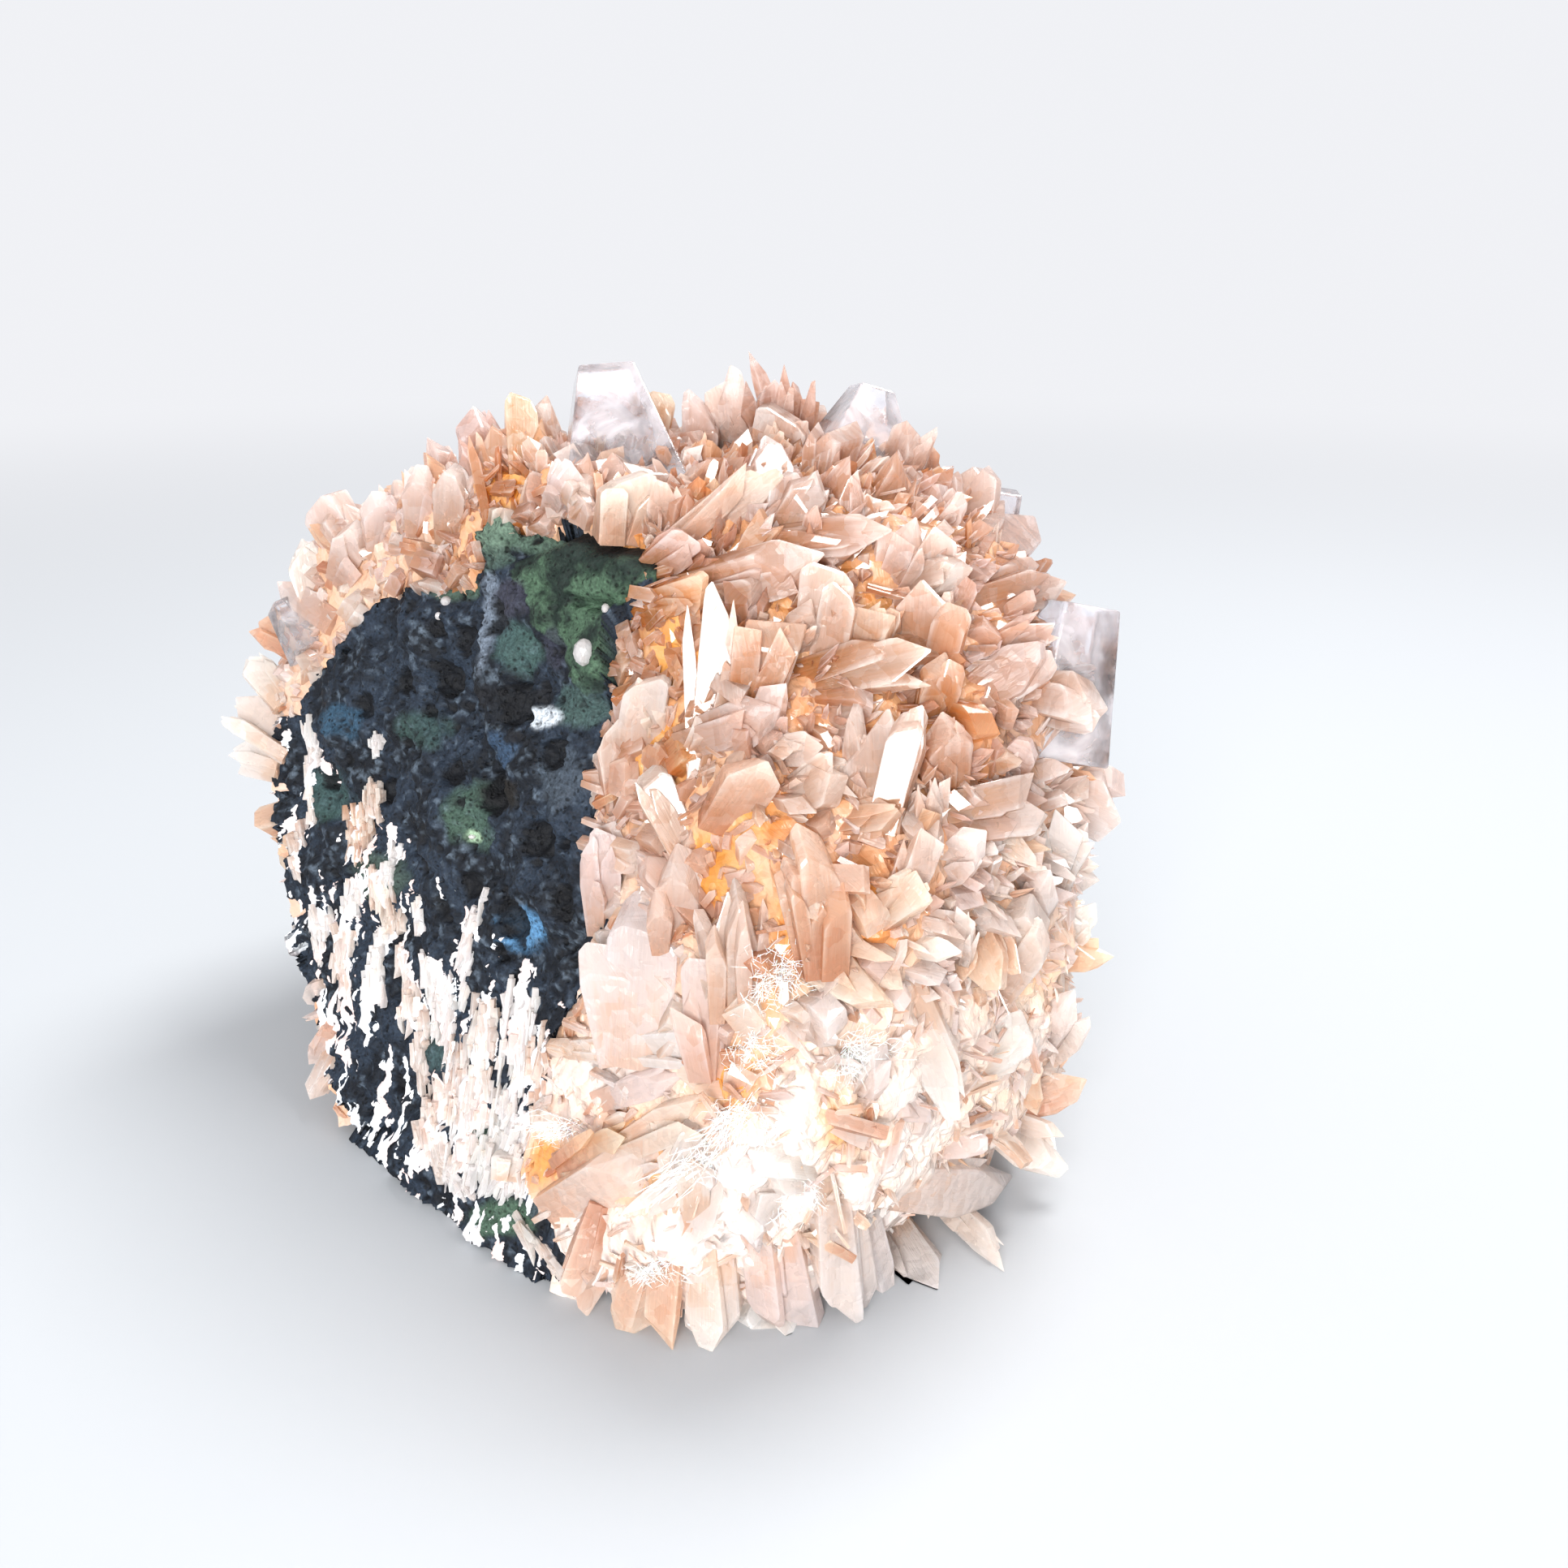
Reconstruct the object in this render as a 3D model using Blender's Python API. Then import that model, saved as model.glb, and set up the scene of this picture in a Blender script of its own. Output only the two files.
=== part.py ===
# Zeolite specimen: a lump of dark vesicular basalt, broken flat on its left-front side and grown over
# everywhere else with a crust of peach stilbite blades, with clear apophyllite crystals standing on it.
# Metres, +Z up. The origin is on the floor under the middle of the specimen, and the photo looks along +Y.

import math
import random

import bmesh
import bpy
from mathutils import Matrix, Vector, noise

mm = 0.001

# The body: a rounded lump about its own centre, bounded by broad faces.
# Each face is (azimuth, elevation, reach from the centre in mm); azimuth 0 is +X and 90 is +Y.
CENTRE = Vector((-0.1, -0.7, 27)) * mm
BODY_FACES = [
    (0, 90, 23.5),
    (-90, 42, 24.0),
    (90, 50, 26.0),
    (0, 45, 31.5),
    (150, 58, 28.5),
    (4, 0, 31.5),
    (-42, -2, 33.0),
    (-90, -6, 31.5),
    (45, 5, 31.5),
    (90, 0, 32.0),
    (142, 5, 35.0),
    (182, 6, 32.0),
    (-38, -42, 37.5),
    (60, -40, 31.0),
    (150, -36, 30.0),
    (-115, -40, 36.0),
]
FACE_BLEND = 14
BODY_WAVE = 0.035
BODY_WAVE_SIZE = 1.9

# The broken face of the rock: a plane that looks to the left and the front and leans back.
BREAK_NORMAL = Vector((-0.68, -0.68, 0.27)).normalized()
BREAK_REACH = 12.9 * mm
BREAK_RELIEF = 0.9 * mm

CRUST_DEPTH = 6.0 * mm
SECTION_DEPTH = 2.6 * mm
JOINT_GAP = 0.45 * mm
SPHERE_DIVISIONS = 3
BREAK_MARGIN = 1.02

# Where the photo was taken from, to set out what it shows: the eye, its tilt down and its focal length.
EYE = Vector((10.9, -108.7, 67)) * mm
EYE_TILT = math.radians(20.6)
EYE_FOCAL = 1896
PHOTO_MIDDLE = 966

# Outline of the bare basalt on the broken face, in photo pixels.
BARE_OUTLINE = [
    (326, 988), (342, 883), (372, 879), (380, 841), (415, 807), (449, 757), (483, 722), (556, 726),
    (588, 696), (602, 638), (633, 627), (648, 665), (690, 638), (732, 646), (801, 661), (845, 672),
    (801, 730), (763, 764), (763, 818), (742, 916), (733, 996), (728, 1043), (755, 1114), (733, 1181),
    (679, 1250), (600, 1235), (560, 1175), (480, 1120), (400, 1050), (340, 1000),
]

# Pits in the broken face: (pixel x, pixel y, width in mm).
PITS = [
    (610, 975, 3.6), (590, 880, 3.0), (640, 870, 3.4), (510, 1035, 2.8), (630, 1130, 3.2),
    (500, 840, 2.4), (545, 835, 2.8), (570, 790, 2.4), (620, 765, 2.4), (455, 870, 2.2),
    (690, 930, 2.4), (675, 1035, 2.8), (560, 950, 2.2), (470, 975, 2.2), (405, 960, 2.2),
    (580, 1090, 2.4), (700, 1110, 2.4),
]

# Rises on the broken face: (pixel x, pixel y, half width in mm, height in mm).
LUMPS = [
    (625, 655, 2.4, 2.0), (700, 705, 5.0, 1.0), (770, 760, 4.5, 1.1), (735, 806, 2.6, 0.8),
    (520, 770, 3.0, 1.2), (545, 1010, 3.2, 0.9), (640, 930, 3.0, 0.9), (430, 900, 3.4, 0.8),
    (660, 1080, 3.0, 0.9), (610, 825, 2.8, 0.9), (700, 980, 2.6, 0.8),
]

# Blades that the photo shows: root pixel, tip pixel, width in mm, habit.
TOP_BLADES = [
    ((845, 668), (945, 590), 2.9, "leaf"), ((950, 620), (950, 546), 3.2, "leaf"),
    ((965, 650), (976, 580), 3.4, "coffin"), ((905, 560), (903, 470), 3.2, "leaf"),
    ((862, 560), (860, 496), 2.6, "slab"), ((965, 545), (962, 467), 4.4, "spire"),
    ((1055, 640), (1053, 583), 2.0, "spire"), ((965, 672), (1085, 662), 3.0, "coffin"),
    ((872, 722), (994, 694), 3.6, "coffin"), ((785, 752), (868, 728), 2.6, "slab"),
    ((866, 925), (888, 742), 2.0, "slab"), ((935, 850), (958, 765), 3.5, "chisel"),
    ((878, 905), (950, 878), 3.4, "coffin"), ((945, 895), (953, 843), 2.0, "chisel"),
    ((960, 925), (1012, 920), 2.2, "coffin"), ((1012, 790), (1022, 703), 3.4, "slab"),
    ((1068, 800), (1080, 752), 2.5, "chisel"), ((1020, 838), (1137, 810), 3.0, "coffin"),
    ((1080, 975), (1095, 868), 3.8, "spire"), ((1148, 1020), (1152, 955), 1.7, "spire"),
    ((1050, 1010), (1110, 1000), 2.3, "coffin"), ((1108, 708), (1126, 652), 2.4, "coffin"),
    ((1152, 712), (1150, 655), 2.9, "coffin"), ((1140, 716), (1187, 700), 2.6, "coffin"),
    ((1137, 792), (1140, 723), 3.5, "coffin"), ((1135, 592), (1140, 546), 1.7, "leaf"),
    ((1190, 650), (1195, 581), 3.7, "leaf"), ((1213, 700), (1272, 641), 3.5, "coffin"),
    ((1208, 742), (1306, 716), 2.9, "coffin"), ((1235, 802), (1290, 771), 2.3, "coffin"),
    ((1212, 850), (1285, 802), 3.5, "leaf"), ((1150, 872), (1166, 815), 2.8, "coffin"),
    ((1250, 952), (1262, 910), 2.4, "leaf"), ((1168, 952), (1166, 890), 2.9, "coffin"),
    ((1200, 1010), (1290, 1002), 3.0, "coffin"), ((1172, 1060), (1210, 1030), 2.5, "coffin"),
    ((975, 800), (1000, 745), 2.4, "coffin"), ((800, 700), (850, 660), 2.2, "slab"),
    ((790, 900), (800, 838), 3.0, "slab"), ((760, 960), (752, 905), 2.0, "slab"),
    ((900, 990), (940, 935), 3.6, "coffin"), ((985, 985), (1035, 955), 2.8, "coffin"),
]
FRONT_BLADES = [
    ((1010, 1150), (1002, 1042), 5.2, "slab"), ((905, 1200), (914, 1105), 4.6, "leaf"),
    ((955, 1160), (1098, 1236), 2.9, "coffin"), ((1128, 1240), (1172, 1360), 2.9, "leaf"),
    ((1290, 1310), (1312, 1234), 3.0, "coffin"), ((1232, 1190), (1268, 1114), 4.0, "coffin"),
    ((1272, 1134), (1288, 1084), 2.4, "coffin"), ((1308, 1180), (1362, 1180), 2.2, "coffin"),
    ((1296, 1090), (1318, 1012), 2.2, "chisel"), ((1318, 1150), (1349, 1112), 2.0, "coffin"),
    ((1290, 1372), (1332, 1330), 2.8, "coffin"), ((1198, 1150), (1226, 1220), 3.4, "leaf"),
    ((1184, 1200), (1190, 1125), 1.4, "chisel"), ((792, 1262), (800, 1125), 5.0, "slab"),
    ((870, 1268), (870, 1195), 2.8, "slab"), ((832, 1122), (840, 1064), 3.2, "leaf"),
    ((748, 1100), (745, 1040), 2.2, "slab"), ((700, 1292), (870, 1282), 1.8, "slab"),
    ((925, 1345), (838, 1322), 3.0, "coffin"), ((760, 1345), (828, 1328), 2.0, "coffin"),
    ((770, 1402), (862, 1350), 1.8, "coffin"), ((690, 1480), (802, 1428), 3.8, "coffin"),
    ((715, 1420), (772, 1402), 2.4, "coffin"), ((860, 1462), (852, 1385), 3.2, "leaf"),
    ((895, 1405), (800, 1500), 1.8, "coffin"), ((890, 1420), (850, 1530), 2.2, "coffin"),
    ((905, 1440), (930, 1540), 2.4, "coffin"), ((1030, 1470), (1050, 1642), 4.4, "leaf"),
    ((1085, 1460), (1236, 1466), 4.2, "leaf"), ((1100, 1515), (1154, 1600), 3.5, "coffin"),
    ((1172, 1508), (1230, 1542), 2.2, "coffin"), ((1000, 1362), (1070, 1404), 1.7, "chisel"),
    ((1103, 1352), (1150, 1380), 1.8, "coffin"), ((985, 1430), (935, 1420), 3.0, "coffin"),
    ((960, 1500), (935, 1470), 2.6, "coffin"), ((955, 1520), (985, 1650), 3.4, "slab"),
    ((880, 1560), (880, 1660), 4.2, "leaf"), ((800, 1560), (775, 1655), 3.8, "leaf"),
    ((740, 1520), (720, 1600), 3.0, "leaf"), ((1240, 1400), (1300, 1440), 3.2, "leaf"),
    ((1180, 1390), (1215, 1380), 3.0, "coffin"), ((1210, 1290), (1262, 1262), 4.0, "slab"),
    ((1085, 1130), (1140, 1090), 2.2, "chisel"), ((1110, 1110), (1150, 1030), 1.8, "chisel"),
    ((1060, 1330), (1085, 1290), 2.6, "coffin"), ((640, 1460), (628, 1420), 2.2, "slab"),
    ((825, 1010), (800, 955), 2.4, "slab"), ((830, 1085), (790, 1050), 2.4, "coffin"),
    ((960, 1590), (935, 1652), 3.4, "slab"), ((1010, 1530), (985, 1590), 3.0, "leaf"),
]
RIM_BLADES = [
    ((640, 600), (641, 502), 2.4, "slab"), ((668, 570), (672, 499), 2.8, "coffin"),
    ((610, 622), (606, 522), 2.4, "coffin"), ((565, 652), (560, 578), 3.0, "leaf"),
    ((528, 645), (518, 584), 2.8, "leaf"), ((482, 664), (470, 615), 3.2, "leaf"),
    ((440, 700), (440, 652), 3.0, "leaf"), ((392, 732), (373, 668), 2.6, "coffin"),
    ((365, 792), (324, 768), 3.2, "coffin"), ((345, 850), (306, 812), 2.8, "coffin"),
    ((342, 905), (295, 862), 3.2, "coffin"), ((340, 950), (296, 925), 2.6, "coffin"),
    ((405, 760), (352, 722), 2.6, "coffin"), ((800, 560), (812, 492), 2.6, "slab"),
    ((835, 560), (830, 512), 1.8, "spire"), ((700, 632), (705, 592), 2.4, "slab"),
    ((770, 640), (775, 588), 3.6, "slab"), ((820, 650), (815, 600), 2.6, "leaf"),
]
BLADE_LISTS = [TOP_BLADES, FRONT_BLADES, RIM_BLADES]

# Fibres of the crust's own section, which lie along the lower left of the broken face.
SECTION_FIBRES = [
    ((345, 1010), (352, 1085), 1.6), ((385, 1060), (392, 1150), 1.6), ((425, 1090), (425, 1225), 1.8),
    ((470, 1130), (470, 1275), 1.8), ((510, 1160), (512, 1335), 1.6), ((545, 1190), (535, 1400), 1.8),
    ((585, 1235), (560, 1440), 1.6), ((615, 1250), (590, 1470), 1.8), ((645, 1255), (625, 1440), 1.4),
    ((675, 1262), (660, 1450), 1.8), ((700, 1275), (700, 1440), 1.4),
]
FIBRE_SPREAD = (1.3, 2.2)
FIBRE_TURN = 0.35
FIBRE_THICKNESS = 1.5 * mm

# Low mounds in the crust that carry tufts of hair: (pixel x, pixel y, half width in mm, height in mm).
TUFT_MOUNDS = [
    (955, 1205, 2.6, 1.2), (1050, 1300, 2.8, 1.4), (905, 1385, 3.0, 1.4), (815, 1560, 3.4, 1.6),
    (985, 1475, 2.0, 1.0),
]

# Blades that the rule sets out over the rest of the crust.
FILL_TRIES = 180
FILL_WIDTH = (4.6, 7.2)
FILL_RISE = (1.6, 3.4)
FILL_CLEARANCE = 40
ROOT_SINK = 2.2 * mm
KEY_SINK = 0.8 * mm
ROOT_MARGIN = 1.1 * mm
TIP_RISE = 2.0 * mm
KEY_TURN = 0.5
BLADE_FLATNESS = (0.45, 0.75)
CRYSTAL_SEED = 5193
FLAT_ANGLE = math.radians(2)

# Clear crystals: root pixel, tip pixel, width at the foot, width at the head and depth, in mm, and turn.
CLEAR_CRYSTALS = {
    "apophyllite_top": ((762, 585), (744, 457), 8.2, 3.8, 0.8, 8),
    "apophyllite_back": ((1055, 565), (1075, 478), 8.0, 2.6, 0.7, 20),
    "apophyllite_right": ((1300, 905), (1330, 745), 5.6, 4.0, 0.8, 30),
    "apophyllite_shoulder": ((1228, 662), (1242, 605), 2.4, 1.8, 0.8, 15),
    "apophyllite_left": ((385, 790), (352, 740), 3.6, 2.4, 0.8, 25),
}
CLEAR_GAP = 0.35 * mm
CLEAR_RISE = 2.5 * mm
CLEAR_SINK = 1.5 * mm
FLOOR_BLOCK = 20 * mm

BASALT_COLOUR = (0.035, 0.042, 0.055, 1)
STILBITE_COLOUR = (0.72, 0.38, 0.22, 1)
APOPHYLLITE_COLOUR = (0.86, 0.88, 0.9, 1)


def clear_scene():
    for thing in list(bpy.data.objects):
        bpy.data.objects.remove(thing, do_unlink=True)


def collection(name):
    made = bpy.data.collections.new(name)
    bpy.context.scene.collection.children.link(made)
    return made


def material(name, colour, roughness):
    made = bpy.data.materials.new(name)
    made.use_nodes = True
    shader = made.node_tree.nodes["Principled BSDF"]
    shader.inputs["Base Color"].default_value = colour
    shader.inputs["Roughness"].default_value = roughness
    shader.inputs["Metallic"].default_value = 0.0
    return made


def object_from(bm, name, place, surface):
    mesh = bpy.data.meshes.new(name)
    bm.to_mesh(mesh)
    bm.free()
    made = bpy.data.objects.new(name, mesh)
    mesh.materials.append(surface)
    place.objects.link(made)
    return made


def hide_cutter(thing):
    thing.hide_render = True
    thing.display_type = "WIRE"


def towards(azimuth, elevation):
    a = math.radians(azimuth)
    e = math.radians(elevation)
    return Vector((math.cos(e) * math.cos(a), math.cos(e) * math.sin(a), math.sin(e)))


FACE_DIRECTIONS = [(towards(a, e), reach * mm) for a, e, reach in BODY_FACES]


def body_reach(d):
    """How far the grown surface is from the centre along d."""
    total = sum(max(0.0, n.dot(d) / reach) ** FACE_BLEND for n, reach in FACE_DIRECTIONS)
    wave = noise.noise(d * BODY_WAVE_SIZE) + 0.5 * noise.noise(d * BODY_WAVE_SIZE * 2.3)
    return total ** (-1 / FACE_BLEND) * (1 + BODY_WAVE * wave)


def break_reach(d):
    facing = BREAK_NORMAL.dot(d)
    return BREAK_REACH / facing if facing > 0.05 else 1.0


def floor_reach(d):
    return CENTRE.z / -d.z if d.z < -0.05 else 1.0


def outer_reach(d):
    return min(body_reach(d), break_reach(d), floor_reach(d))


def sight(pixel):
    """The direction in which the eye sees a pixel."""
    across = (pixel[0] - PHOTO_MIDDLE) / EYE_FOCAL
    up = (PHOTO_MIDDLE - pixel[1]) / EYE_FOCAL
    c = math.cos(EYE_TILT)
    s = math.sin(EYE_TILT)
    return Vector((across, c + up * s, up * c - s)).normalized()


def pixel_of(point):
    away = point - EYE
    c = math.cos(EYE_TILT)
    s = math.sin(EYE_TILT)
    depth = away.y * c - away.z * s
    up = away.y * s + away.z * c
    return (PHOTO_MIDDLE + EYE_FOCAL * away.x / depth, PHOTO_MIDDLE - EYE_FOCAL * up / depth)


def seen_point(pixel, raised):
    """The point at a pixel that is raised above the outer surface, or nearest to that where the pixel misses it."""
    ray = sight(pixel)
    nearest = None
    for step in range(320):
        point = EYE + ray * (0.06 + 0.00035 * step)
        out = point - CENTRE
        over = out.length - outer_reach(out.normalized()) - raised
        if over <= 0:
            return point
        if nearest is None or over < nearest[0]:
            nearest = (over, point)
    return nearest[1]


def inside(pixel, outline):
    x, y = pixel
    found = False
    for (x0, y0), (x1, y1) in zip(outline, outline[1:] + outline[:1]):
        if (y0 > y) != (y1 > y) and x < x0 + (y - y0) / (y1 - y0) * (x1 - x0):
            found = not found
    return found


def on_break(d):
    return break_reach(d) < body_reach(d)


def is_bare(d):
    """True where the basalt shows: inside the break's outline, underneath, and low at the back."""
    if floor_reach(d) < min(body_reach(d), break_reach(d)):
        return True
    if on_break(d) and inside(pixel_of(CENTRE + d * break_reach(d)), BARE_OUTLINE):
        return True
    return d.dot(towards(118, -34)) > 0.86


def crust_depth(d):
    return SECTION_DEPTH if on_break(d) else CRUST_DEPTH


def rock_reach(d):
    return outer_reach(d) - (0 if is_bare(d) else crust_depth(d))


def break_relief(point):
    """Lumps, ledges and roughness of the bare broken face, outwards from its plane."""
    rise = BREAK_RELIEF * noise.fractal(point * 210, 0.8, 2.1, 4)
    ledge = noise.noise(point * 120 + Vector((3, 7, 1)))
    rise += BREAK_RELIEF * 0.8 * (math.floor(ledge * 4) / 4)
    for x, y, half, height in LUMPS:
        away = (point - BREAK_POINTS[(x, y)]).length / (half * mm)
        rise += height * mm * math.exp(-away * away)
    return rise


def break_point(pixel):
    """Where the line of sight at a pixel meets the plane of the broken face."""
    ray = sight(pixel)
    distance = (BREAK_REACH + BREAK_NORMAL.dot(CENTRE - EYE)) / BREAK_NORMAL.dot(ray)
    return EYE + ray * distance


BREAK_POINTS = {(x, y): break_point((x, y)) for x, y, half, height in LUMPS}


def direction_net():
    """A sphere of directions, finer over the break and around it."""
    bm = bmesh.new()
    bmesh.ops.create_icosphere(bm, subdivisions=SPHERE_DIVISIONS, radius=1)
    near = {v for v in bm.verts if break_reach(v.co) < body_reach(v.co) * BREAK_MARGIN}
    edges = list({e for v in near for f in v.link_faces for e in f.edges})
    bmesh.ops.subdivide_edges(bm, edges=edges, cuts=1, use_grid_fill=True)
    bmesh.ops.triangulate(bm, faces=bm.faces)
    for v in bm.verts:
        v.co.normalize()
    return bm


def rock_shape():
    """The rock without its pits: the body less the crust's depth, flush with the break where it is bare."""
    bm = direction_net()
    bare = {v for v in bm.verts if on_break(v.co.normalized()) and is_bare(v.co.normalized())}
    for v in bm.verts:
        v.co = CENTRE + v.co.normalized() * rock_reach(v.co.normalized())
    faces = [f for f in bm.faces if all(v in bare for v in f.verts)]
    edges = list({e for f in faces for e in f.edges})
    bmesh.ops.subdivide_edges(bm, edges=edges, cuts=1, use_grid_fill=True)
    for v in bm.verts:
        out = v.co - CENTRE
        d = out.normalized()
        if on_break(d) and is_bare(d) and out.length > break_reach(d) - 0.2 * mm:
            v.co += BREAK_NORMAL * break_relief(v.co)
    bmesh.ops.triangulate(bm, faces=bm.faces)
    return bm


def make_basalt(place, cutters):
    rock = object_from(rock_shape(), "basalt_matrix", place, material("basalt", BASALT_COLOUR, 0.85))
    hollows = make_pits(cutters)
    cut = rock.modifiers.new("pits", "BOOLEAN")
    cut.operation = "DIFFERENCE"
    cut.object = hollows
    cut.use_self = True
    return rock


def make_pits(cutters):
    bm = bmesh.new()
    dice = random.Random(CRYSTAL_SEED + 1)
    turn = BREAK_NORMAL.to_track_quat("Z", "Y").to_matrix().to_4x4()
    for x, y, width in PITS:
        half = width / 2 * mm
        shape = Matrix.Diagonal((half * dice.uniform(0.8, 1.3), half * dice.uniform(0.7, 1.0), half * 0.9, 1))
        spin = Matrix.Rotation(dice.uniform(0, math.pi), 4, "Z")
        at = Matrix.Translation(break_point((x, y)) + BREAK_NORMAL * 0.1 * mm)
        bmesh.ops.create_icosphere(bm, subdivisions=1, radius=1, matrix=at @ turn @ spin @ shape)
    hollows = object_from(bm, "pit_cutter", cutters, material("pit", BASALT_COLOUR, 0.9))
    hide_cutter(hollows)
    return hollows


def slice_off(bm, point, normal):
    """Cuts away what lies on the normal's side of a plane, and closes the cut."""
    everything = bm.verts[:] + bm.edges[:] + bm.faces[:]
    cut = bmesh.ops.bisect_plane(bm, geom=everything, plane_co=point, plane_no=normal, clear_outer=True)
    edges = [e for e in cut["geom_cut"] if isinstance(e, bmesh.types.BMEdge)]
    bmesh.ops.holes_fill(bm, edges=edges, sides=0)


# Each habit: how narrow the root is, and the cuts at the head. A cut is (axis, height at the side, how far
# from the middle it meets the top).
HABITS = {
    "coffin": (0.72, [("x", 0.74, 0.0)]),
    "chisel": (0.80, [("y", 0.78, 0.0)]),
    "spire": (0.95, [("x", 0.45, 0.0), ("y", 0.45, 0.0)]),
    "slab": (0.86, [("x", 0.90, 0.30)]),
    "leaf": (0.60, [("x", 0.62, 0.16)]),
}


def habit_mesh(name):
    """A crystal one unit wide, thick and long, standing on the origin along +Z."""
    root, cuts = HABITS[name]
    bm = bmesh.new()
    bmesh.ops.create_cube(bm, size=1, matrix=Matrix.Translation((0, 0, 0.5)))
    for v in bm.verts:
        if v.co.z < 0.5:
            v.co.x *= root
            v.co.y *= root
    for axis, side, top in cuts:
        for sign in (-1, 1):
            along = Vector((sign, 0, 0)) if axis == "x" else Vector((0, sign, 0))
            low = along * 0.5 + Vector((0, 0, side))
            normal = along * (1 - side) + Vector((0, 0, 0.5 - top))
            slice_off(bm, low, normal)
    bmesh.ops.remove_doubles(bm, verts=bm.verts, dist=0.01)
    mesh = bpy.data.meshes.new("habit_" + name)
    bm.to_mesh(mesh)
    bm.free()
    return mesh


def stand(bm, mesh, root, tip, width, thickness, facing, turn):
    """Adds a crystal from root to tip, its broad side towards facing and then turned about its length."""
    along = (tip - root).normalized()
    side = facing.cross(along)
    side = side.normalized() if side.length > 1e-6 else along.orthogonal().normalized()
    back = along.cross(side)
    frame = Matrix((side, back, along)).transposed().to_4x4()
    size = Matrix.Diagonal((width, thickness, (tip - root).length, 1))
    first = len(bm.verts)
    bm.from_mesh(mesh)
    bm.verts.ensure_lookup_table()
    new = bm.verts[first:]
    whole = Matrix.Translation(root) @ frame @ Matrix.Rotation(turn, 4, "Z") @ size
    bmesh.ops.transform(bm, matrix=whole, verts=new)


def rooted(root, tip):
    """Moves a root into the crust: towards the tip while the rock is bare there, then between skin and rock."""
    for step in range(20):
        if not is_bare((root - CENTRE).normalized()):
            break
        root = root.lerp(tip, 0.1)
    out = root - CENTRE
    d = out.normalized()
    deepest = rock_reach(d) + JOINT_GAP + ROOT_MARGIN
    return CENTRE + d * max(deepest, min(out.length, outer_reach(d) - ROOT_MARGIN))


def key_blades(bm, meshes, dice):
    """The blades that the photo shows. It returns the pixels along them, which the rest keep clear of."""
    taken = []
    for blades in BLADE_LISTS:
        for root_pixel, tip_pixel, width, habit in blades:
            tip = seen_point(tip_pixel, TIP_RISE)
            root = seen_point(root_pixel, -KEY_SINK)
            root = rooted(root + (root - tip).normalized() * ROOT_SINK, tip)
            flat = dice.uniform(*BLADE_FLATNESS)
            turn = dice.uniform(-KEY_TURN, KEY_TURN)
            stand(bm, meshes[habit], root, tip, width * mm, width * flat * mm, EYE - tip, turn)
            for share in (0.0, 0.5, 1.0):
                x = root_pixel[0] + (tip_pixel[0] - root_pixel[0]) * share
                y = root_pixel[1] + (tip_pixel[1] - root_pixel[1]) * share
                taken.append((x, y))
    for root_pixel, tip_pixel, width in SECTION_FIBRES:
        root = break_point(root_pixel) - BREAK_NORMAL * 0.5 * mm
        tip = break_point(tip_pixel) - BREAK_NORMAL * 0.3 * mm
        width *= dice.uniform(*FIBRE_SPREAD) * mm
        turn = dice.uniform(-FIBRE_TURN, FIBRE_TURN)
        stand(bm, meshes["slab"], root, tip, width, FIBRE_THICKNESS, BREAK_NORMAL, turn)
    return taken


def spiral(count):
    """Directions spread evenly over a sphere."""
    golden = math.pi * (3 - math.sqrt(5))
    for i in range(count):
        z = 1 - 2 * (i + 0.5) / count
        flat = math.sqrt(1 - z * z)
        yield Vector((flat * math.cos(golden * i), flat * math.sin(golden * i), z))


def fill_blades(bm, meshes, dice, taken):
    """The blades between and behind those of the photo, one to each free place on the crust."""
    names = ["coffin", "coffin", "leaf", "slab", "chisel", "coffin"]
    for d in spiral(FILL_TRIES):
        lean = Vector((dice.uniform(-1, 1), dice.uniform(-1, 1), dice.uniform(-0.6, 1)))
        width = dice.uniform(*FILL_WIDTH) * mm
        rise = dice.uniform(*FILL_RISE) * mm
        flat = dice.uniform(*BLADE_FLATNESS)
        turn = dice.uniform(0, math.pi)
        habit = dice.choice(names)
        if is_bare(d) or on_break(d):
            continue
        surface = CENTRE + d * body_reach(d)
        along = (d + lean * 0.45).normalized()
        root = surface - along * ROOT_SINK
        tip = surface + along * rise
        pixel = pixel_of(tip)
        faces_eye = (EYE - surface).dot(d) > 0
        if faces_eye and any(math.dist(pixel, near) < FILL_CLEARANCE for near in taken):
            continue
        if tip.z < 0.4 * mm:
            continue
        stand(bm, meshes[habit], root, tip, width, width * flat, d, turn)


def make_mounds(bm):
    for x, y, half, height in TUFT_MOUNDS:
        at = seen_point((x, y), 0)
        d = (at - CENTRE).normalized()
        turn = d.to_track_quat("Z", "Y").to_matrix().to_4x4()
        size = Matrix.Diagonal((half * mm, half * mm, (height + 1) * mm, 1))
        place = Matrix.Translation(at - d * 1 * mm) @ turn @ size
        bmesh.ops.create_icosphere(bm, subdivisions=1, radius=1, matrix=place)


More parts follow.
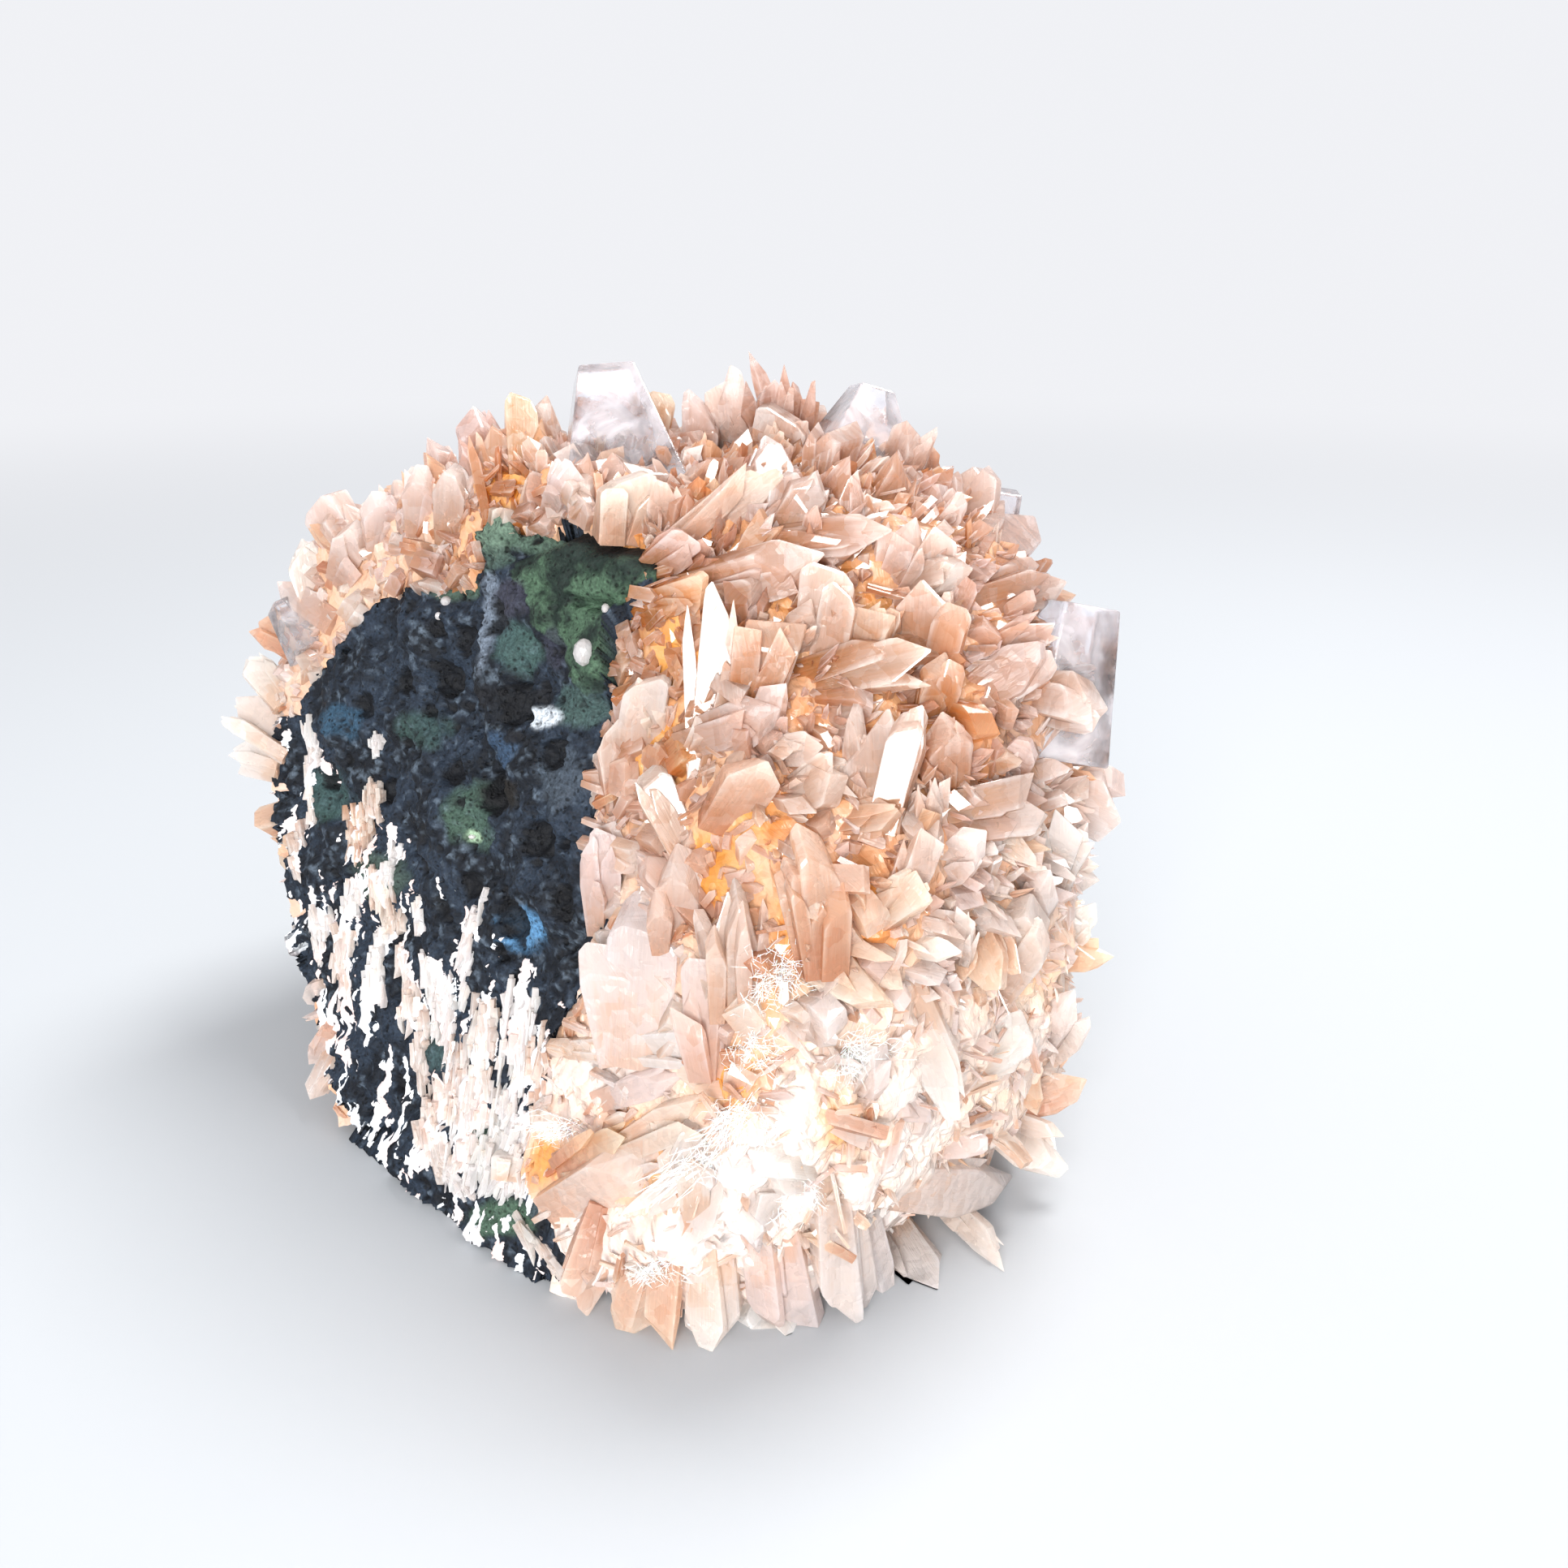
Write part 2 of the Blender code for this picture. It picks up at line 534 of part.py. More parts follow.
def make_crust(place, cutters):
    """The shell of the crust, from a gap above the rock to the grown surface, joined with its crystals."""
    bm = direction_net()
    bare = [v for v in bm.verts if is_bare(v.co.normalized())]
    bmesh.ops.delete(bm, geom=bare, context="VERTS")
    keep_largest_patch(bm)
    skin = list(bm.faces)
    grown = bmesh.ops.extrude_face_region(bm, geom=skin, use_keep_orig=True)
    moved = {v for v in grown["geom"] if isinstance(v, bmesh.types.BMVert)}
    for v in bm.verts:
        d = v.co.normalized()
        if v in moved:
            v.co = CENTRE + d * outer_reach(d)
        else:
            v.co = CENTRE + d * (rock_reach(d) + JOINT_GAP)
    bmesh.ops.recalc_face_normals(bm, faces=bm.faces)
    crust = object_from(bm, "stilbite_crust", place, material("stilbite", STILBITE_COLOUR, 0.3))

    meshes = {name: habit_mesh(name) for name in HABITS}
    dice = random.Random(CRYSTAL_SEED)
    bm = bmesh.new()
    taken = key_blades(bm, meshes, dice)
    fill_blades(bm, meshes, dice, taken)
    make_mounds(bm)
    blades = object_from(bm, "blade_joiner", cutters, material("blade", STILBITE_COLOUR, 0.3))
    hide_cutter(blades)
    union = crust.modifiers.new("blades", "BOOLEAN")
    union.operation = "UNION"
    union.object = blades
    union.use_self = True
    return crust


def clear_of_rock(crust, cutters):
    """Trims the blades that lean over the bare rock, so that a gap stays between them."""
    bm = rock_shape()
    bm.normal_update()
    for v in bm.verts:
        v.co += v.normal * JOINT_GAP * 0.8
    cutter = object_from(bm, "rock_gap_cutter", cutters, crust.data.materials[0])
    hide_cutter(cutter)
    cut = crust.modifiers.new("rock_gap", "BOOLEAN")
    cut.operation = "DIFFERENCE"
    cut.object = cutter


def settle(thing):
    """Replaces a piece's mesh by what its Booleans make of it, as one body."""
    bpy.context.view_layer.update()
    whole = thing.evaluated_get(bpy.context.evaluated_depsgraph_get())
    bm = bmesh.new()
    bm.from_mesh(whole.to_mesh())
    whole.to_mesh_clear()
    thing.modifiers.clear()
    keep_largest_patch(bm)
    bmesh.ops.dissolve_limit(bm, angle_limit=FLAT_ANGLE, verts=bm.verts, edges=bm.edges)
    bmesh.ops.triangulate(bm, faces=bm.faces)
    bm.to_mesh(thing.data)
    bm.free()


def keep_largest_patch(bm):
    """Drops loose islands, so that what is left is one body."""
    left = set(bm.verts)
    patches = []
    while left:
        patch = set()
        edge = [left.pop()]
        while edge:
            v = edge.pop()
            patch.add(v)
            for link in v.link_edges:
                other = link.other_vert(v)
                if other in left:
                    left.remove(other)
                    edge.append(other)
        patches.append(patch)
    patches.sort(key=len)
    for patch in patches[:-1]:
        bmesh.ops.delete(bm, geom=list(patch), context="VERTS")


def clear_shape(bm, name, grow):
    """A four-sided crystal that narrows to a blunt head, made larger all round by grow."""
    root_pixel, tip_pixel, foot, head, flat, turn = CLEAR_CRYSTALS[name]
    tip = seen_point(tip_pixel, CLEAR_RISE)
    root = seen_point(root_pixel, -KEY_SINK)
    along = (tip - root).normalized()
    root = rooted(root - along * CLEAR_SINK, tip) - along * grow
    tip += along * grow
    side = (EYE - tip).cross(along).normalized()
    frame = Matrix((side, along.cross(side), along)).transposed().to_4x4()
    spin = Matrix.Rotation(math.radians(45 + turn), 4, "Z")
    corner = math.sqrt(0.5)
    first = len(bm.verts)
    bmesh.ops.create_cone(
        bm, cap_ends=True, segments=4, radius1=(foot * mm + 2 * grow) * corner,
        radius2=(head * mm + 2 * grow) * corner, depth=(tip - root).length,
    )
    bm.verts.ensure_lookup_table()
    whole = Matrix.Translation((root + tip) / 2) @ frame @ Matrix.Diagonal((1, flat, 1, 1)) @ spin
    bmesh.ops.transform(bm, matrix=whole, verts=bm.verts[first:])


def make_clear_crystals(place, cutters, crust):
    """The clear crystals, each in a socket of the crust, which is cut flat where it meets the floor too."""
    surface = material("apophyllite", APOPHYLLITE_COLOUR, 0.05)
    sockets = bmesh.new()
    for name in CLEAR_CRYSTALS:
        bm = bmesh.new()
        clear_shape(bm, name, 0)
        bmesh.ops.recalc_face_normals(bm, faces=bm.faces)
        object_from(bm, name, place, surface)
        clear_shape(sockets, name, CLEAR_GAP)
    floor = Matrix.Translation((0, 0, -FLOOR_BLOCK / 2)) @ Matrix.Diagonal((10, 10, 1, 1))
    bmesh.ops.create_cube(sockets, size=FLOOR_BLOCK, matrix=floor)
    bmesh.ops.recalc_face_normals(sockets, faces=sockets.faces)
    cutter = object_from(sockets, "socket_cutter", cutters, surface)
    hide_cutter(cutter)
    cut = crust.modifiers.new("sockets", "BOOLEAN")
    cut.operation = "DIFFERENCE"
    cut.object = cutter


def main():
    clear_scene()
    place = collection("zeolite_specimen")
    cutters = collection("cutters")
    make_basalt(place, cutters)
    crust = make_crust(place, cutters)
    clear_of_rock(crust, cutters)
    make_clear_crystals(place, cutters, crust)
    settle(crust)


main()
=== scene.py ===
# A zeolite specimen: peach stilbite blades crusted over a lump of dark vesicular basalt, with clear
# apophyllite crystals, white mordenite hair and a green celadonite skin. Metres, +Z up.

import math
import random
from functools import lru_cache

import bmesh
import bpy
import numpy as np
from mathutils import Matrix, Vector, kdtree, noise


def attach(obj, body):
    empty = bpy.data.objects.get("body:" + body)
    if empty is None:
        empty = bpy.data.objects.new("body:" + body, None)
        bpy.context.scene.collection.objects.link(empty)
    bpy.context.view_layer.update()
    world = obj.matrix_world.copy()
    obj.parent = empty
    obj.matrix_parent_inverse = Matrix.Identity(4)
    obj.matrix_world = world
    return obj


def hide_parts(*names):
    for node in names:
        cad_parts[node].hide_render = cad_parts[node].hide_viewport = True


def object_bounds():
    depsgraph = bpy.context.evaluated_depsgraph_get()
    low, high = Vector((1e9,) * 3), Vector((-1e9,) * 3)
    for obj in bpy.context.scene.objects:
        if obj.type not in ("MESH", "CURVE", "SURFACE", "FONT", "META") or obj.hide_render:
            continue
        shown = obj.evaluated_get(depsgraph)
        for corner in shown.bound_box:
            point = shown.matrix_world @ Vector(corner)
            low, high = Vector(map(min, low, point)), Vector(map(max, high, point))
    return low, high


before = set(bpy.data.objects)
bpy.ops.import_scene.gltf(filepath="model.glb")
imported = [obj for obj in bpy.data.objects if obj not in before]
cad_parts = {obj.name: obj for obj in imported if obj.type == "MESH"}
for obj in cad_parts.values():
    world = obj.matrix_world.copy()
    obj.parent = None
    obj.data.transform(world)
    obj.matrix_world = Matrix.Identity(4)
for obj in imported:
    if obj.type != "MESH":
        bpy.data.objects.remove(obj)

mm = 0.001
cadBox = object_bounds()
print("frame loaded")


# the specimen's form, as the solids have it
form = {
    "centre": Vector((-0.1, -0.7, 27)) * mm,
    "faces": [  # azimuth, elevation, reach in mm
        (0, 90, 23.5), (-90, 42, 24.0), (90, 50, 26.0), (0, 45, 31.5), (150, 58, 28.5), (4, 0, 31.5),
        (-42, -2, 33.0), (-90, -6, 31.5), (45, 5, 31.5), (90, 0, 32.0), (142, 5, 35.0), (182, 6, 32.0),
        (-38, -42, 37.5), (60, -40, 31.0), (150, -36, 30.0), (-115, -40, 36.0),
    ],
    "blend": 14,
    "wave": 0.035,
    "waveSize": 1.9,
    "breakNormal": Vector((-0.68, -0.68, 0.27)).normalized(),
    "breakReach": 12.9 * mm,
    "crustDepth": 6.0 * mm,
    "sectionDepth": 2.6 * mm,
    "jointGap": 0.45 * mm,
}
eye = {
    "place": Vector((10.9, -108.7, 67)) * mm,
    "tilt": math.radians(20.6),
    "focal": 1896,  # pixels, for a photo 1932 wide
    "middle": 966,
    "width": 1932,
    "start": 60 * mm,  # where lines of sight start, and their step and number of steps
    "step": 0.35 * mm,
    "steps": 320,
}
centre = form["centre"]
breakNormal = form["breakNormal"]


def towards(azimuth, elevation):
    a = math.radians(azimuth)
    e = math.radians(elevation)
    return Vector((math.cos(e) * math.cos(a), math.cos(e) * math.sin(a), math.sin(e)))


faceList = [(towards(a, e), reach * mm) for a, e, reach in form["faces"]]


@lru_cache(maxsize=16)
def bodyReachAt(x, y, z):
    d = Vector((x, y, z))
    total = sum(max(0.0, n.dot(d) / reach) ** form["blend"] for n, reach in faceList)
    wave = noise.noise(d * form["waveSize"]) + 0.5 * noise.noise(d * form["waveSize"] * 2.3)
    return total ** (-1 / form["blend"]) * (1 + form["wave"] * wave)


def bodyReach(d):
    return bodyReachAt(*d)


def breakReach(d):
    facing = breakNormal.dot(d)
    return form["breakReach"] / facing if facing > 0.05 else 1.0


def floorReach(d):
    return centre.z / -d.z if d.z < -0.05 else 1.0


def outerReach(d):
    return min(bodyReach(d), breakReach(d), floorReach(d))


def sight(pixel):
    across = (pixel[0] - eye["middle"]) / eye["focal"]
    up = (eye["middle"] - pixel[1]) / eye["focal"]
    c = math.cos(eye["tilt"])
    s = math.sin(eye["tilt"])
    return Vector((across, c + up * s, up * c - s)).normalized()


def pixelOf(point):
    away = point - eye["place"]
    c = math.cos(eye["tilt"])
    s = math.sin(eye["tilt"])
    depth = away.y * c - away.z * s
    up = away.y * s + away.z * c
    return (eye["middle"] + eye["focal"] * away.x / depth, eye["middle"] - eye["focal"] * up / depth)


def seenPoint(pixel, raised):  # the point at a pixel, raised above the grown surface
    ray = sight(pixel)
    nearest = None
    for step in range(eye["steps"]):
        point = eye["place"] + ray * (eye["start"] + eye["step"] * step)
        out = point - centre
        over = out.length - outerReach(out.normalized()) - raised
        if over <= 0:
            return point
        if nearest is None or over < nearest[0]:
            nearest = (over, point)
    return nearest[1]


def breakPoint(pixel):  # where a line of sight meets the plane of the broken face
    ray = sight(pixel)
    distance = (form["breakReach"] + breakNormal.dot(centre - eye["place"])) / breakNormal.dot(ray)
    return eye["place"] + ray * distance


def inside(pixel, outline):
    x, y = pixel
    found = False
    for (x0, y0), (x1, y1) in zip(outline, outline[1:] + outline[:1]):
        if (y0 > y) != (y1 > y) and x < x0 + (y - y0) / (y1 - y0) * (x1 - x0):
            found = not found
    return found


def smooth(low, high, value):
    t = min(1.0, max(0.0, (value - low) / (high - low)))
    return t * t * (3 - 2 * t)


# where the basalt shows, in photo pixels
windowOutline = [
    (326, 988), (342, 883), (372, 879), (380, 841), (415, 807), (449, 757), (483, 722), (535, 726),
    (556, 726), (588, 696), (588, 660), (602, 638), (633, 627), (648, 665), (675, 653), (690, 638),
    (732, 646), (801, 661), (845, 672), (801, 730), (763, 764), (763, 818), (751, 879), (742, 916),
    (736, 933), (733, 996), (728, 1043), (736, 1091), (755, 1114), (752, 1142), (733, 1181), (701, 1248),
    (679, 1292), (668, 1340), (655, 1390), (640, 1440), (668, 1512), (712, 1600), (640, 1600), (500, 1500),
    (330, 1200),
]
backBare = (towards(118, -34), 0.86)  # the low bare rock at the back


def onBreak(d):
    return breakReach(d) < bodyReach(d)


def isBare(d):
    if floorReach(d) < min(bodyReach(d), breakReach(d)):
        return True
    if onBreak(d) and inside(pixelOf(centre + d * breakReach(d)), windowOutline):
        return True
    return d.dot(backBare[0]) > backBare[1]


def crustDepth(d):
    return form["sectionDepth"] if onBreak(d) else form["crustDepth"]


def rockReach(d):
    return outerReach(d) - (0 if isBare(d) else crustDepth(d))


def refinedNet(divisions, spacing, rounds):  # a net on the grown surface, as fine as spacing asks
    bm = bmesh.new()
    bmesh.ops.create_icosphere(bm, subdivisions=divisions, radius=1)
    wanted = {}
    for turn in range(rounds + 1):
        for v in [v for v in bm.verts if v not in wanted]:
            d = (v.co - (centre if turn else Vector())).normalized()
            v.co = centre + d * outerReach(d)
            wanted[v] = spacing(d, v.co)
        if turn == rounds:
            break
        edges = [e for e in bm.edges if e.calc_length() > min(wanted[v] for v in e.verts)]
        if not edges:
            break
        bmesh.ops.subdivide_edges(bm, edges=edges, cuts=1)
        bmesh.ops.triangulate(bm, faces=[f for f in bm.faces if len(f.verts) > 3])
    return bm


# materials
def linear(code, alpha=1.0):
    parts = [int(code[i:i + 2], 16) / 255 for i in (1, 3, 5)]
    parts = [c / 12.92 if c <= 0.04045 else ((c + 0.055) / 1.055) ** 2.4 for c in parts]
    return (*parts, alpha)


def addNode(tree, kind, settings=None, links=None):  # a link comes from a socket, or a node's first output
    node = tree.nodes.new("ShaderNode" + kind)
    for name, value in (settings or {}).items():
        if name == "stops":
            band = node.color_ramp.elements
            band.remove(band[1])
            for at, code in value:
                band.new(at).color = linear(code)
            band.remove(band[0])
        elif name in node.inputs.keys() or isinstance(name, int):
            node.inputs[name].default_value = value
        else:
            setattr(node, name, value)
    for name, source in (links or {}).items():
        isNode = isinstance(source, bpy.types.Node)
        tree.links.new(source.outputs[0] if isNode else source, node.inputs[name])
    return node


def newMaterial(name):
    made = bpy.data.materials.new(name)
    made.use_nodes = True
    tree = made.node_tree
    return made, tree, tree.nodes["Principled BSDF"]


def putPiece(name, mesh, material, slotName, *nodes):
    mesh.materials.append(material)
    piece = bpy.data.objects.new(name, mesh)
    bpy.context.scene.collection.objects.link(piece)
    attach(piece, "root")
    if nodes:
        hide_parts(*nodes)
    return piece


# basalt: lava rock with gas bubbles, broken and dusty; it is rough and matt, with a faint gloss
rock = {
    "finest": 0.215 * mm,
    "seed": 61,
    "relief": 1.1 * mm,
    "grain": 0.13 * mm,
    "smallPits": (1500, (0.13, 0.42)),  # how many, and smallest and largest radius in mm
    "middlePits": (90, (0.45, 0.85)),
    "dark": "#0B1018",
    "body": "#222C39",
    "pale": "#65727F",
    # painted shade: the near-black the rock is darkened to inside deeper bubble holes
    "pit": "#0A0B0F",
    "skin": "#18241F",  # celadonite, where dark and where light
    "skinLight": "#415845",
    "zeolite": "#E6EAEE",
    "zeolitePink": "#DFC8C2",
    "zeoliteRise": 0.34 * mm,
}
# pixel x, pixel y, width in mm, as the solid has them
bigPits = [
    (610, 975, 3.6), (590, 880, 3.0), (640, 870, 3.4), (510, 1035, 2.8), (630, 1130, 3.2), (500, 840, 2.4),
    (545, 835, 2.8), (570, 790, 2.4), (620, 765, 2.4), (455, 870, 2.2), (690, 930, 2.4), (675, 1035, 2.8),
    (560, 950, 2.2), (470, 975, 2.2), (405, 960, 2.2), (580, 1090, 2.4), (700, 1110, 2.4),
]
lumps = [  # pixel x, pixel y, half width in mm, height in mm
    (625, 655, 2.4, 2.0), (700, 705, 5.0, 1.0), (770, 760, 4.5, 1.1), (735, 806, 2.6, 0.8),
    (520, 770, 3.0, 1.2), (545, 1010, 3.2, 0.9), (640, 930, 3.0, 0.9), (430, 900, 3.4, 0.8),
    (660, 1080, 3.0, 0.9), (610, 825, 2.8, 0.9), (700, 980, 2.6, 0.8),
]
# a line of pixels, half width in mm, depth in mm: the black gap under the ledge and two cracks
trenches = [
    ([(684, 660), (716, 650), (760, 660), (800, 672), (850, 690)], 0.9, 2.4),
    ([(722, 742), (745, 748), (778, 738)], 0.35, 0.8),
    ([(640, 690), (668, 680), (690, 668)], 0.3, 0.7),
]
greenSkin = [
    (640, 706), (656, 688), (690, 672), (726, 664), (773, 676), (800, 668), (850, 690), (823, 703),
    (800, 723), (803, 732), (782, 738), (766, 765), (768, 812), (756, 850), (742, 862), (718, 845),
    (704, 826), (700, 806), (682, 782), (668, 770), (662, 755), (671, 741), (664, 724), (650, 718),
]
rockMarks = [  # pixel x, pixel y, half across, half down, colour, share
    (615, 655, 34, 34, "#5C7060", 0.95), (670, 668, 44, 16, "#46594C", 0.9),
    (612, 690, 30, 16, "#43554C", 0.7), (560, 725, 26, 14, "#4C6152", 0.6),
    (647, 800, 26, 32, "#3C5450", 0.75), (720, 870, 34, 26, "#3F544F", 0.7),
    (606, 760, 14, 62, "#76818F", 0.7), (640, 738, 30, 24, "#33333F", 0.8),
    (676, 882, 22, 14, "#C3CAD1", 0.95), (627, 924, 24, 22, "#2F4258", 0.95),
    (584, 1005, 24, 40, "#435A4C", 0.7), (584, 1030, 9, 9, "#8FA88C", 0.9),
    (640, 1146, 28, 26, "#4F7BA0", 0.9), (690, 800, 12, 26, "#2E2F3B", 0.8),
    (400, 980, 30, 30, "#3E5A52", 0.45), (430, 890, 22, 20, "#33536A", 0.6),
    (520, 900, 30, 26, "#38504A", 0.5), (700, 960, 26, 40, "#4B5560", 0.5),
    (470, 1080, 30, 30, "#4A5B4A", 0.5), (620, 1500, 40, 22, "#49614F", 0.8),
    (712, 1564, 12, 14, "#4F6B57", 0.8), (590, 1420, 14, 30, "#3F5547", 0.7),
    # painted shade: the near-black marks at (598, 860), (622, 980), (513, 1038), (612, 1148), (644, 908),
    # (632, 768) and (665, 858) darken the big bubble holes
    (540, 1290, 24, 26, "#3C5250", 0.6), (598, 860, 26, 18, "#101116", 0.9),
    (622, 980, 34, 20, "#17130F", 0.95), (513, 1038, 14, 18, "#15161C", 0.9),
    # painted shadow: the three #08090A bands darken the gap under the ledge
    (612, 1148, 10, 10, "#0C0D12", 0.95), (722, 660, 44, 12, "#08090A", 0.97),
    (780, 674, 44, 13, "#08090A", 0.97), (832, 692, 34, 13, "#08090A", 0.97),
    (644, 908, 14, 10, "#0E0F14", 0.9), (632, 768, 10, 8, "#121218", 0.8),
    (665, 858, 16, 10, "#0F1015", 0.9),
]
paleGrains = [  # small white grains on the rock: pixel x, pixel y, radius in mm
    (741, 806, 0.85), (763, 752, 0.35), (584, 1031, 0.28), (553, 741, 0.5), (548, 760, 0.3),
]
# streaks of zeolite on the lower left of the rock: root pixel, tip pixel, width in pixels, pale, warm
sprays = [
    ((594, 1236), (590, 1384), 30, 0.8, 0.1), ((640, 1218), (632, 1330), 36, 1.0, 0.0),
    ((622, 1330), (606, 1420), 26, 1.0, 0.0), ((537, 1190), (541, 1276), 24, 1.0, 0.0),
    ((500, 1176), (503, 1258), 18, 0.8, 0.1), ((466, 1158), (470, 1230), 16, 1.0, 0.0),
    ((428, 1142), (430, 1222), 16, 0.7, 0.1), ((396, 1126), (402, 1178), 16, 0.9, 0.0),
    ((472, 1080), (476, 1146), 22, 0.8, 0.2), ((435, 1088), (436, 1124), 16, 1.0, 0.0),
    ((520, 1112), (520, 1146), 9, 0.9, 0.0), ((485, 1046), (482, 1082), 9, 1.0, 0.0),
    ((436, 1000), (438, 1054), 24, 0.4, 0.3), ((457, 966), (458, 1004), 16, 0.8, 0.2),
    ((463, 906), (463, 930), 10, 1.0, 0.0), ((381, 974), (383, 1008), 14, 0.9, 0.1),
    ((381, 896), (384, 962), 24, 0.9, 0.0), ((366, 1020), (370, 1072), 10, 0.6, 0.1),
    ((600, 1100), (562, 1236), 11, 1.0, 0.0), ((513, 1240), (517, 1330), 16, 0.7, 0.1),
    ((531, 1330), (540, 1420), 26, 0.7, 0.1), ((560, 1290), (556, 1380), 20, 0.6, 0.1),
    ((575, 1330), (566, 1450), 26, 0.9, 0.0), ((545, 1400), (556, 1450), 20, 0.7, 0.1),
    ((604, 1376), (590, 1460), 24, 1.0, 0.0), ((640, 1385), (612, 1470), 34, 1.0, 0.0),
    ((560, 1440), (580, 1470), 18, 0.9, 0.0), ((650, 1430), (640, 1475), 30, 1.0, 0.0),
    ((660, 1270), (655, 1420), 22, 0.5, 0.2), ((684, 1290), (672, 1440), 22, 0.4, 0.2),
    ((706, 1290), (700, 1430), 20, 0.5, 0.1), ((640, 1500), (690, 1570), 12, 0.8, 0.1),
]
# a line of pixels and a width in pixels, where the rock shows between the streaks
barePatches = [
    ([(614, 1312), (604, 1420)], 18), ([(592, 1396), (586, 1445)], 14), ([(552, 1420), (550, 1460)], 18),
    ([(585, 1458), (625, 1480), (662, 1510)], 34), ([(652, 1522), (708, 1584)], 15),
    ([(528, 1270), (520, 1350)], 18), ([(655, 1215), (652, 1300)], 16), ([(562, 1240), (566, 1320)], 14),
    ([(486, 1130), (488, 1210)], 16), ([(450, 1130), (450, 1180)], 14), ([(415, 1060), (418, 1130)], 18),
    ([(500, 1260), (508, 1330)], 12), ([(620, 1180), (618, 1215)], 22), ([(390, 1000), (396, 1100)], 12),
]


def distanceToLine(pixel, line):
    best = 1e9
    p = Vector(pixel)
    for a, b in zip(line, line[1:]):
        a = Vector(a)
        along = Vector(b) - a
        t = min(1.0, max(0.0, (p - a).dot(along) / along.length_squared))
        best = min(best, (p - a - along * t).length)
    return best


lumpPoints = [(breakPoint((x, y)), half * mm, height * mm) for x, y, half, height in lumps]


def scatterPits():  # gas bubbles on the broken face: where, radius, and depth against the radius
    dice = random.Random(rock["seed"])
    found = [(breakPoint((x, y)), width / 2 * mm, 0.85) for x, y, width in bigPits]
    for count, (low, high) in (rock["middlePits"], rock["smallPits"]):
        for i in range(count):
            pixel = (dice.uniform(320, 770), dice.uniform(620, 1520))
            radius = low + (high - low) * dice.random() ** 1.8
            deep = dice.uniform(0.7, 1.25)
            if inside(pixel, greenSkin) and radius > 0.16:
                continue
            found.append((breakPoint(pixel), radius * mm, deep))
    tree = kdtree.KDTree(len(found))
    for i, pit in enumerate(found):
        tree.insert(pit[0], i)
    tree.balance()
    return found, tree


pits, pitTree = scatterPits()


def pitDepth(point):
    deepest = 0
    bend = 1 + 0.28 * noise.noise(point * 1300)
    for co, index, distance in pitTree.find_range(point, 1.9 * mm):
        at, radius, deep = pits[index]
        share = distance * bend / radius
        if share < 1:
            deepest = max(deepest, radius * deep * (1 - share ** 3))
    return deepest


def rockRelief(point, pixel):
    rise = rock["relief"] * noise.fractal(point * 210, 0.8, 2.1, 4)
    ledge = noise.noise(point * 120 + Vector((3, 7, 1)))
    rise += rock["relief"] * 0.8 * (math.floor(ledge * 4) / 4)
    for at, half, height in lumpPoints:
        away = (point - at).length / half
        if away < 3:
            rise += height * math.exp(-away * away)
    for line, half, depth in trenches:
        away = distanceToLine(pixel, line) * 0.05 / half
        if away < 2.5:
            rise -= depth * mm * math.exp(-away * away)
    return rise


def mixed(a, b, share):
    return a + (b - a) * share


def streakShare(pixel):  # white zeolite left on the low part of the broken face, in ragged streaks
    x, y = pixel
    low = y - 870 - (x - 345) * 1.05
    if low < 0:
        return 0
    lengthwise = Vector(((x + (y - 1200) * 0.12) / 10, y / 75, 0.5))
    ragged = noise.fractal(lengthwise, 0.7, 2.1, 4) + 0.3 * noise.noise(Vector((x / 4, y / 10, 3)))
    share = smooth(0.38, 0.6, ragged * 1.1 + 0.38 * smooth(140, 470, low) - 0.08)
    for rootPixel, tipPixel, across, pale, warm in sprays:
        away = distanceToLine(pixel, (rootPixel, tipPixel)) / across * 2.6
        if away < 1.8:
            share = max(share, smooth(1.25, 0.8, away + 0.7 * ragged))
    for line, across in barePatches:
        share *= smooth(0.75, 1.2, distanceToLine(pixel, line) / across * 2 + 0.5 * ragged)
    return share


def rockTint(pixel, point, deep, onFace):
    tones = rockTones
    patch = noise.fractal(point * 260, 0.9, 2.0, 3)
    fine = noise.fractal(point * 1500 + Vector((5, 1, 9)), 0.9, 2.0, 2)
    tint = mixed(tones["dark"], tones["body"], smooth(-0.6, 0.6, patch + fine * 0.6))
    tint = mixed(tint, tones["pale"], 0.5 * smooth(0.2, 0.9, fine - patch * 0.4))
    if not onFace:
        return tint
    edge = 0.35 * noise.noise(point * 700)
    if inside((pixel[0] + edge * 24, pixel[1] + edge * 18), greenSkin):
        light = smooth(-0.4, 0.5, noise.fractal(point * 330, 0.9, 2.0, 3) + fine * 0.3)
        # painted shade: the green is kept dark along its top, right under the overhanging ledge
        low = smooth(720, 700, pixel[1]) * smooth(700, 760, pixel[0]) * 0.6
        tint = mixed(tones["skin"], tones["skinLight"], light * (1 - low))
    for x, y, across, down, code, share in rockMarks:
        away = math.hypot((pixel[0] - x) / across, (pixel[1] - y) / down)
        if away < 1.5:
            tint = mixed(tint, markTones[code], share * smooth(1.25, 0.7, away + edge))
    # painted shade: the deeper a bubble hole, the nearer to black its colour
    return mixed(tint, tones["pit"], 0.92 * smooth(0.06, 0.4, deep / mm))


rockTones = {name: np.array(linear(rock[name])[:3]) for name in rock if str(rock[name]).startswith("#")}
markTones = {mark[4]: np.array(linear(mark[4])[:3]) for mark in rockMarks}


def rockSpacing(d, point):
    if not isBare(d):
        return 4 * mm
    if onBreak(d):
        away = smooth(560, 340, pixelOf(point)[0])
        return rock["finest"] * (1 + 0.5 * away)
    return 0.75 * mm if point.z > 0.5 * mm else 4 * mm


